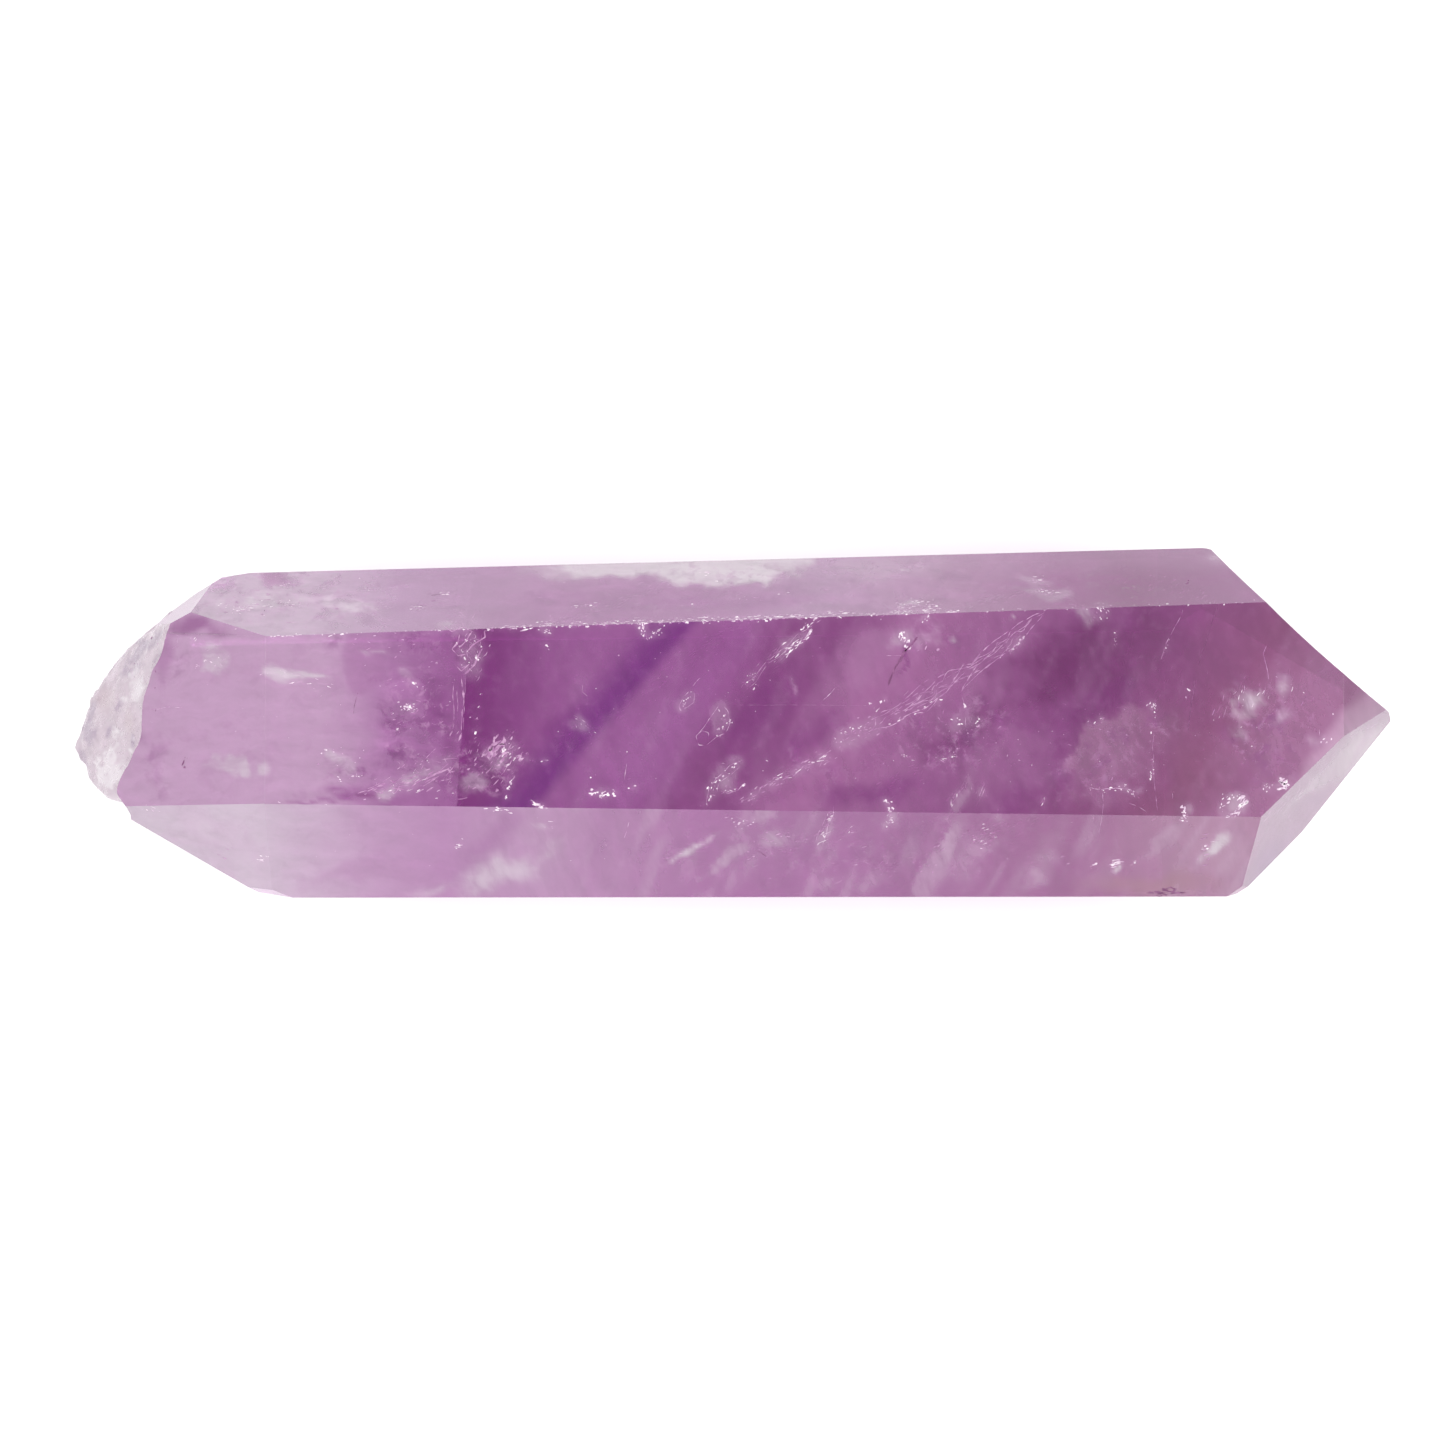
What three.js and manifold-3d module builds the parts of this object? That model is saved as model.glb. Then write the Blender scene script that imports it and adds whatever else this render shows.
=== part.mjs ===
// A double terminated amethyst point, lying on one of its six long faces.
// Units are millimetres. +X runs along the crystal to its sharp end, and +Z is up.
// Both ends are cut to facets, and past the facets at -X the crystal ends in a rough break.
import * as THREE from "three";
import { ImprovedNoise } from "three/addons/math/ImprovedNoise.js";
import { mergeVertices } from "three/addons/utils/BufferGeometryUtils.js";
import Module from "manifold-3d";

// Driving dimensions
const LENGTH = 76;
const WIDTH = 20.3;
const THICKNESS = 15;
const MIDDLE = new THREE.Vector3(0, 0, THICKNESS / 2);

// The finish of the stone
const AMETHYST_COLOR = 0xa473a2;
const AMETHYST_ROUGHNESS = 0.12;
const AMETHYST_METALNESS = 0;

// A facet is one flat cut. turn is its heading round the long axis in degrees, from straight up (0)
// towards +Y (90), and lean tips it towards the sharp end (+) or the broken end (-).
// reach is the distance from the crystal's middle to the facet, in millimetres.

// The upper and lower long faces are those of the block that all the facets are cut from.
const LONG_FACETS = {
  upperBack: { turn: 60, lean: -1.7, reach: 8.13 },
  lowerBack: { turn: 120, lean: -0.7, reach: 8.29 },
  lowerFront: { turn: -120, lean: 0.6, reach: 8.77 },
  upperFront: { turn: -60, lean: -0.65, reach: 8.74 },
};

const SHARP_END_FACETS = {
  top: { turn: 0, lean: 33.7, reach: 25.42 },
  front: { turn: -65, lean: 41.4, reach: 26.3 },
  frontBelow: { turn: -120, lean: 42.4, reach: 25.75 },
  frontBelowAtTip: { turn: -140, lean: 51.3, reach: 27.57 },
  backBelow: { turn: 125, lean: 47, reach: 25.8 },
  below: { turn: 180, lean: 42, reach: 22.3 },
};

const BROKEN_END_FACETS = {
  top: { turn: 0, lean: -36.5, reach: 21.86 },
  front: { turn: -60, lean: -22.5, reach: 17.97 },
  back: { turn: 68.4, lean: -34, reach: 23.24 },
  narrowBack: { turn: 80, lean: -44, reach: 27.35 },
  frontBelow: { turn: -100, lean: -30.5, reach: 22.38 },
  backBelow: { turn: 90, lean: -37.6, reach: 24.93 },
  frontLow: { turn: -135, lean: -30, reach: 22.45 },
  backLow: { turn: 135, lean: -32, reach: 22.6 },
};

// Small cuts that stand for the soft shoulders where the long edges end.
const SHOULDERS = {
  brokenEndBack: { turn: 80, lean: -31.6, reach: 22.62 },
  brokenEndAlongBackEdge: { turn: 80, lean: -8.8, reach: 12.75 },
  brokenEndFront: { turn: -80, lean: -13.9, reach: 15.67 },
  sharpEndFront: { turn: -80, lean: 23.3, reach: 20.47 },
};

// The sharp end's back facet stands almost upright and is slightly hollow. Its deepest line runs
// up the facet, and across is that line's distance from the spot where reach is measured.
const HOLLOW_FACET = { turn: 82, lean: 43.3, reach: 26.17, across: -20.1 };
const HOLLOW_DEPTH = 0.33;
const HOLLOW_RADIUS = 70;
const HOLLOW_ROUND_STEPS = 320;

// The break, from front to back: where its lip lies, seen from above and from the side,
// and where its upper rim lies on the top facet.
const BREAK_STATIONS = [
  { y: -5.4, lipX: -34.75, lipZ: 7.6, rimX: -34.6 },
  { y: -4.5, lipX: -35.3, lipZ: 7.4, rimX: -35.2 },
  { y: -4.2, lipX: -36.1, lipZ: 6.8, rimX: -35.3 },
  { y: -3.7, lipX: -36.8, lipZ: 6.0, rimX: -35.2 },
  { y: -2.6, lipX: -37.6, lipZ: 5.0, rimX: -34.8 },
  { y: -0.9, lipX: -38.4, lipZ: 4.2, rimX: -34.1 },
  { y: 0.7, lipX: -37.7, lipZ: 4.3, rimX: -34.0 },
  { y: 2.3, lipX: -37.0, lipZ: 4.6, rimX: -33.4 },
  { y: 4.2, lipX: -35.6, lipZ: 5.4, rimX: -32.8 },
  { y: 5.4, lipX: -34.1, lipZ: 6.3, rimX: -32.4 },
  { y: 6.4, lipX: -32.6, lipZ: 7.0, rimX: -32.2 },
  { y: 8.0, lipX: -31.5, lipZ: 7.0, rimX: -31.2 },
];
const BREAK_SLOPE_POWER = 1.15;
const BREAK_UNDERCUT = 5;
const BREAK_LUMPS = [
  { size: 2.8, height: 0.22 },
  { size: 1.2, height: 0.1 },
];

// The grid that the break is made on. It covers the whole broken end.
const BREAK_STEP = 0.4;
const BREAK_FROM_Y = -9;
const BREAK_TO_Y = 10;
const BREAK_FROM_Z = -1;
const BREAK_TO_Z = 13;

// The side of a block that is larger than anything it has to cut
const ROOM = 4 * LENGTH;

const wasm = await Module();
wasm.setup();

function solidFrom(geometry) {
  geometry.deleteAttribute("normal");
  geometry.deleteAttribute("uv");
  const merged = mergeVertices(geometry);
  return new wasm.Manifold(new wasm.Mesh({
    numProp: 3,
    vertProperties: new Float32Array(merged.attributes.position.array),
    triVerts: new Uint32Array(merged.index.array),
  }));
}

function geometryFrom(solid) {
  const mesh = solid.getMesh();
  const geometry = new THREE.BufferGeometry();
  geometry.setAttribute("position", new THREE.BufferAttribute(mesh.vertProperties, 3));
  geometry.setIndex(new THREE.BufferAttribute(mesh.triVerts, 1));
  return geometry;
}

function outwardOf({ turn, lean }) {
  const aroundAxis = THREE.MathUtils.degToRad(turn);
  const alongAxis = THREE.MathUtils.degToRad(lean);
  return new THREE.Vector3(
    Math.sin(alongAxis),
    Math.cos(alongAxis) * Math.sin(aroundAxis),
    Math.cos(alongAxis) * Math.cos(aroundAxis),
  );
}

// Sets a cutter on a facet. The cutter's own +Z becomes the facet's outward direction,
// and its +Y runs up the facet.
function setOnFacet(geometry, facet) {
  const outward = outwardOf(facet);
  const upright = new THREE.Vector3(0, 0, 1);
  const spot = MIDDLE.clone().addScaledVector(outward, facet.reach);
  geometry.applyMatrix4(new THREE.Matrix4().lookAt(outward, new THREE.Vector3(), upright));
  return geometry.translate(spot.x, spot.y, spot.z);
}

function uncutBlock() {
  const block = new THREE.BoxGeometry(LENGTH * 2, WIDTH * 2, THICKNESS);
  return solidFrom(block.translate(MIDDLE.x, MIDDLE.y, MIDDLE.z));
}

function flatCutter(facet) {
  const block = new THREE.BoxGeometry(ROOM, ROOM, ROOM).translate(0, 0, ROOM / 2);
  return solidFrom(setOnFacet(block, facet));
}

// A wide drum whose round side presses into the facet.
function hollowCutter() {
  const drum = new THREE.CylinderGeometry(HOLLOW_RADIUS, HOLLOW_RADIUS, ROOM, HOLLOW_ROUND_STEPS);
  drum.translate(HOLLOW_FACET.across, 0, HOLLOW_RADIUS - HOLLOW_DEPTH);
  return solidFrom(setOnFacet(drum, HOLLOW_FACET));
}

// The height of the broken end's top facet, above the face that the crystal rests on.
function topFacetHeight(x) {
  const facet = BROKEN_END_FACETS.top;
  const outward = outwardOf(facet);
  return MIDDLE.z + (facet.reach - x * outward.x) / outward.z;
}

// A smooth line through one value of the stations, read at any y.
function alongBreak(value) {
  const places = BREAK_STATIONS.map((station) => station.y);
  const values = BREAK_STATIONS.map((station) => station[value]);
  const line = new THREE.CubicInterpolant(places, values, 1);
  return (y) => {
    const [read] = line.evaluate(THREE.MathUtils.clamp(y, places[0], places[places.length - 1]));
    return read;
  };
}

const lipX = alongBreak("lipX");
const lipZ = alongBreak("lipZ");
const rimX = alongBreak("rimX");
const noise = new ImprovedNoise();

function lumpHeight(y, z) {
  const heights = BREAK_LUMPS.map(({ size, height }) => height * noise.noise(y / size, z / size, size));
  return heights.reduce((sum, height) => sum + height, 0);
}

// How far along X the break lies, at a place across and up the end of the crystal.
function breakX(y, z) {
  const lip = lipX(y);
  const lipHeight = lipZ(y);
  const above = (z - lipHeight) / (topFacetHeight(rimX(y)) - lipHeight);
  const below = (lipHeight - z) / lipHeight;
  const setBack = z > lipHeight
    ? (rimX(y) - lip) * above ** BREAK_SLOPE_POWER
    : BREAK_UNDERCUT * below ** BREAK_SLOPE_POWER;
  return lip + setBack + lumpHeight(y, z);
}

// A block beyond the broken end, whose near side is the surface of the break.
function breakCutter() {
  const width = BREAK_TO_Y - BREAK_FROM_Y;
  const height = BREAK_TO_Z - BREAK_FROM_Z;
  const steps = [1, Math.round(width / BREAK_STEP), Math.round(height / BREAK_STEP)];
  const block = new THREE.BoxGeometry(LENGTH, width, height, ...steps);
  block.translate(-LENGTH, (BREAK_FROM_Y + BREAK_TO_Y) / 2, (BREAK_FROM_Z + BREAK_TO_Z) / 2);
  const corners = block.attributes.position;
  for (let i = 0; i < corners.count; i += 1) {
    const isNearSide = corners.getX(i) > -LENGTH;
    if (isNearSide) {
      corners.setX(i, breakX(corners.getY(i), corners.getZ(i)));
    }
  }
  return solidFrom(block);
}

function amethystGeometry() {
  const facets = [LONG_FACETS, SHARP_END_FACETS, BROKEN_END_FACETS, SHOULDERS].flatMap(Object.values);
  const cutters = [...facets.map(flatCutter), hollowCutter(), breakCutter()];
  const crystal = cutters.reduce((left, cutter) => left.subtract(cutter), uncutBlock());
  const geometry = geometryFrom(crystal);
  geometry.computeBoundingBox();
  const centre = geometry.boundingBox.getCenter(new THREE.Vector3());
  return geometry.translate(-centre.x, -centre.y, 0);
}

const amethystMaterial = new THREE.MeshStandardMaterial({
  color: AMETHYST_COLOR,
  roughness: AMETHYST_ROUGHNESS,
  metalness: AMETHYST_METALNESS,
  flatShading: true,
});

const amethystPoint = new THREE.Mesh(amethystGeometry(), amethystMaterial);
amethystPoint.name = "amethyst_point";

const model = new THREE.Group();
model.add(amethystPoint);

export default model;
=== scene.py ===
"""A double terminated amethyst point on a plain pale floor, in plain soft studio light.

Lengths are in metres unless a name says otherwise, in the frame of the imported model: +X runs to the
sharp end, +Y to the back and +Z up from the floor. Places named "at" are pixels of the photograph.
"""
import math
import random
from typing import NamedTuple

import bmesh
import bpy
import numpy as np
from mathutils import Matrix, Vector, noise
from mathutils.bvhtree import BVHTree
from mathutils.kdtree import KDTree


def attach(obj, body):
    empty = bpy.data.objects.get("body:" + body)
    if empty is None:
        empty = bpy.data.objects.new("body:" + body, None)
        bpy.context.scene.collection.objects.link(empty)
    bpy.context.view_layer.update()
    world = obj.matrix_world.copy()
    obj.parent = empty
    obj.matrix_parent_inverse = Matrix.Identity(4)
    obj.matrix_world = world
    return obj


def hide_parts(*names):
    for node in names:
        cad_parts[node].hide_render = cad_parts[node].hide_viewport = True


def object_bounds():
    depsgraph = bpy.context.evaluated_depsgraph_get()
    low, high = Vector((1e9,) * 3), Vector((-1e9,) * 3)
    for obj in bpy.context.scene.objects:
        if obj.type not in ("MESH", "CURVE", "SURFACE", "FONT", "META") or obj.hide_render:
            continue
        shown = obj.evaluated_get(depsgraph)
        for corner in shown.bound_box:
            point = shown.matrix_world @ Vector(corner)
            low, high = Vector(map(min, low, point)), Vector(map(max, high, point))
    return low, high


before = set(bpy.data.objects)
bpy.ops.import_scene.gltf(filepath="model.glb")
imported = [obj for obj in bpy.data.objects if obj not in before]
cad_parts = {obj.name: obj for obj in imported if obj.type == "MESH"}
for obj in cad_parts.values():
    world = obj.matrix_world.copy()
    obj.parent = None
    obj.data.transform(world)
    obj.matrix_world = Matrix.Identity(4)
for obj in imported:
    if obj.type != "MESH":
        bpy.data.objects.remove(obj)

CAD_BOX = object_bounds()
MM = 0.001

# The camera stands almost straight above the crystal, as in the photograph
PHOTO_SIDE = 1445
CAMERA_LENS_MM = 180.0
CAMERA_SENSOR_MM = 36.0
CAMERA_ELEVATION = math.radians(84)
CAMERA_DISTANCE = 417.25 * MM
CAMERA_AIM = Vector((-0.318, -0.012, 7.6)) * MM

# The studio
FLOOR_SIDE = 3.0
FLOOR_GAP = 0.03 * MM
FLOOR_COLOUR = (0.9, 0.9, 0.9, 1)
WORLD_LIGHT = 0.8
SOFTBOX_WATTS = 3.7
SOFTBOX_DISTANCE = 0.9
SOFTBOXES = {
    # name: (azimuth, elevation, side)
    "left_softbox": (-75, 48, 0.7),
    "right_softbox": (80, 48, 0.7),
    "back_softbox": (178, 40, 0.8),
    "front_softbox": (5, 36, 0.8),
}

# The polished facets have a fine worn edge
EDGE_WEAR = 0.12 * MM
EDGE_WEAR_STEPS = 2
FLAT_WITHIN = math.radians(0.4)
LEAST_EDGE_ANGLE = math.radians(7)
MERGE_DISTANCE = 0.002 * MM

# The corners of the outline are soft: the place in millimetres, the way that its two sides face as
# seen from above, in degrees from +X, and the radius in millimetres
CORNER_CUTS = 4
ROUNDED_CORNERS = {
    "back": ((28.03, 10.13, 7.8), 90, 43, 1.8),
    "tip": ((37.98, -0.29, 11.4), 50, -42, 0.2),
    "front": ((29.0, -10.14, 8.1), -90, -70, 3.0),
}

# The break lies past the facets at the blunt end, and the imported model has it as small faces
BREAK_LARGEST_FACE = 1.0 * MM * MM
BREAK_ENDS_AT_X = -29.0 * MM
BREAK_CUTS = 2
BREAK_RELIEF = {1.8: 0.16, 0.8: 0.09, 0.35: 0.035}

# The stone: how clear it is and what light it takes up on its way through
QUARTZ_IOR = 1.544
CLEARNESS = 0.6
ABSORBED_TO = (0.55, 0.22, 0.55, 1)
ABSORPTION_DENSITY = 60

# The fine grid that carries the colours of the stone
GRID_ABOVE = 0.2 * MM
GRID_BELOW = 0.4 * MM
LOOKS_DOWN = -0.2
LOOKS_UP_OR_DOWN = 0.7

# The colours in the stone
PALE_LILAC = (0.67, 0.43, 0.64)
LILAC = (0.53, 0.25, 0.5)
PURPLE = (0.39, 0.115, 0.37)
DEEP_PURPLE = (0.255, 0.03, 0.235)
VIOLET = (0.212, 0.01, 0.243)
PLUM = (0.295, 0.058, 0.26)
ROSE = (0.32, 0.09, 0.235)
DUSKY_PINK = (0.42, 0.175, 0.345)
VEIL = (0.63, 0.345, 0.595)
MILK = (0.86, 0.76, 0.84)
CLOUD_WHITE = (0.9, 0.8, 0.87)
PALE_BLOTCH = (0.57, 0.28, 0.53)
DARK_BLOTCH = (0.3, 0.062, 0.285)
FROST = (0.59, 0.49, 0.56)
GREY_LILAC = (0.43, 0.34, 0.44)
WARM_GREY = (0.57, 0.46, 0.51)
WHITE = (0.76, 0.69, 0.74)

# How the colour runs along the stone: a column of the photograph and the colour there
ALONG_MIDDLE = (
    (325, PALE_LILAC), (390, (0.49, 0.21, 0.47)), (455, PURPLE), (690, (0.38, 0.1, 0.36)),
    (740, PLUM), (790, PLUM), (860, (0.46, 0.16, 0.4)), (960, (0.38, 0.12, 0.335)), (1080, PLUM),
    (1230, ROSE), (1300, DUSKY_PINK), (1338, DUSKY_PINK), (1350, (0.6, 0.355, 0.53)),
    (1390, (0.74, 0.54, 0.68)),
)
# The back and front runs are partly painted light: the sloping facets get lighter and darker tones than the middle
# for what they reflect and let through
ALONG_BACK_WITH_PAINTED_LIGHT = (
    (300, (0.68, 0.5, 0.66)), (400, (0.54, 0.28, 0.52)), (560, (0.46, 0.15, 0.42)), (720, (0.47, 0.16, 0.43)),
    (820, (0.555, 0.28, 0.53)), (950, (0.47, 0.19, 0.42)), (1060, (0.34, 0.03, 0.28)),
    (1140, (0.26, 0.0, 0.2)), (1250, (0.37, 0.06, 0.31)),
)
ALONG_FRONT_WITH_PAINTED_LIGHT = (
    (250, (0.745, 0.61, 0.735)), (370, (0.6, 0.335, 0.575)), (440, (0.555, 0.24, 0.53)),
    (540, (0.58, 0.3, 0.55)), (700, (0.445, 0.125, 0.405)), (880, (0.4, 0.1, 0.355)),
    (1080, (0.38, 0.085, 0.31)), (1200, (0.5, 0.225, 0.405)),
)
# Painted light: the front facet at the sharp end gets a pale glow, for the bright floor seen through it
PAINTED_GLOW_OF_THE_SHARP_FACET = (0.575, 0.39, 0.535)
# Painted light: the facets at the broken end that look up are made lighter by this much
BROKEN_END_TOP_PAINTED_LIGHTER = 1.1
# Painted light: the back facets are made paler towards their low edge, from the middle to the sharp end
PAINTED_LIGHT_BACK_RIM = (12 * MM, 8 * MM)
PAINTED_LIGHT_BACK_RIM_STRENGTH = 0.28
MIDDLE_ROW = 720

# In the middle and at the sharp end the colours run at a slant
SLANT = 0.7
SLANT_STARTS = (-16 * MM, -8 * MM)

# The flakes and threads in the stone, in millimetres where they are lengths
PIXELS_PER_MM = 17.3
PROUD = 0.01 * MM
HEADING_STRAY = 14
FLAKE_TILT = 0.3
SIZE_STRAY = 0.4
FLAKE_SEED = 3
FLAKE_UNEVENNESS = 2.2
FLAKE_GRAIN = 12000
THREAD_SEED = 11
THREAD_STEP = 0.12
THREAD_SIDES = 5
TAPER_STEPS = 3
WANDER_SIZE = 0.9
SWELL_SIZE = 0.35
CURL_BEND = 4
CURLS_BEADED = 0.9
INCLUSION_GRAIN = 3.0

# How deep the patches of colour go, in millimetres. On the sides the stone falls away steeply.
DEPTH_FROM_THE_TOP = 4
DEPTH_FROM_A_SIDE = 9

# How much less a patch fades out on its crisp side
CRISPNESS = 0.85

# A move each way is read from the same noise, at places that lie this far apart
MOVE_NOISE_OFFSETS = (Vector((9.3, -1.5, -8.0)), Vector((0, 0, 0)), Vector((6.3, 0.2, -2.7)))

# What lies in the stone is stirred a little and has ragged rims. Upright, all of it is drawn out.
UPRIGHT_SHARE = np.array((1, 1, 0.45))
STIR_SIZE = 2.4 * MM
STIR_REACH = 0.6 * MM
ROUGH_SIZE = 2.2 * MM
HALO_REACH = 0.5 * MM
HALO_OF_ONE = 0.055
HALO_MOST = 0.28
CURTAIN_TURN = 66
CURTAIN_SIZE = np.array((5.0, 0.9, 4.0)) * MM
CURTAIN_STRENGTH = 0.3
LEAST_UNREST = 0.12
BREAK_BLOTCH_SIZE = 0.8 * MM
BREAK_MOTTLE = 0.12


class Patch(NamedTuple):
    """A soft oval of colour. at is its centre in the photograph, reach is in millimetres along and
    across, turn is in degrees and rim is the part of it that fades out. crisp is the direction, in
    degrees, of the side that ends on a line, if it has one."""
    at: tuple
    reach: tuple
    turn: float
    rim: float
    strength: float
    colour: tuple
    ragged: float = 0.3
    crisp: float = None


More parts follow.
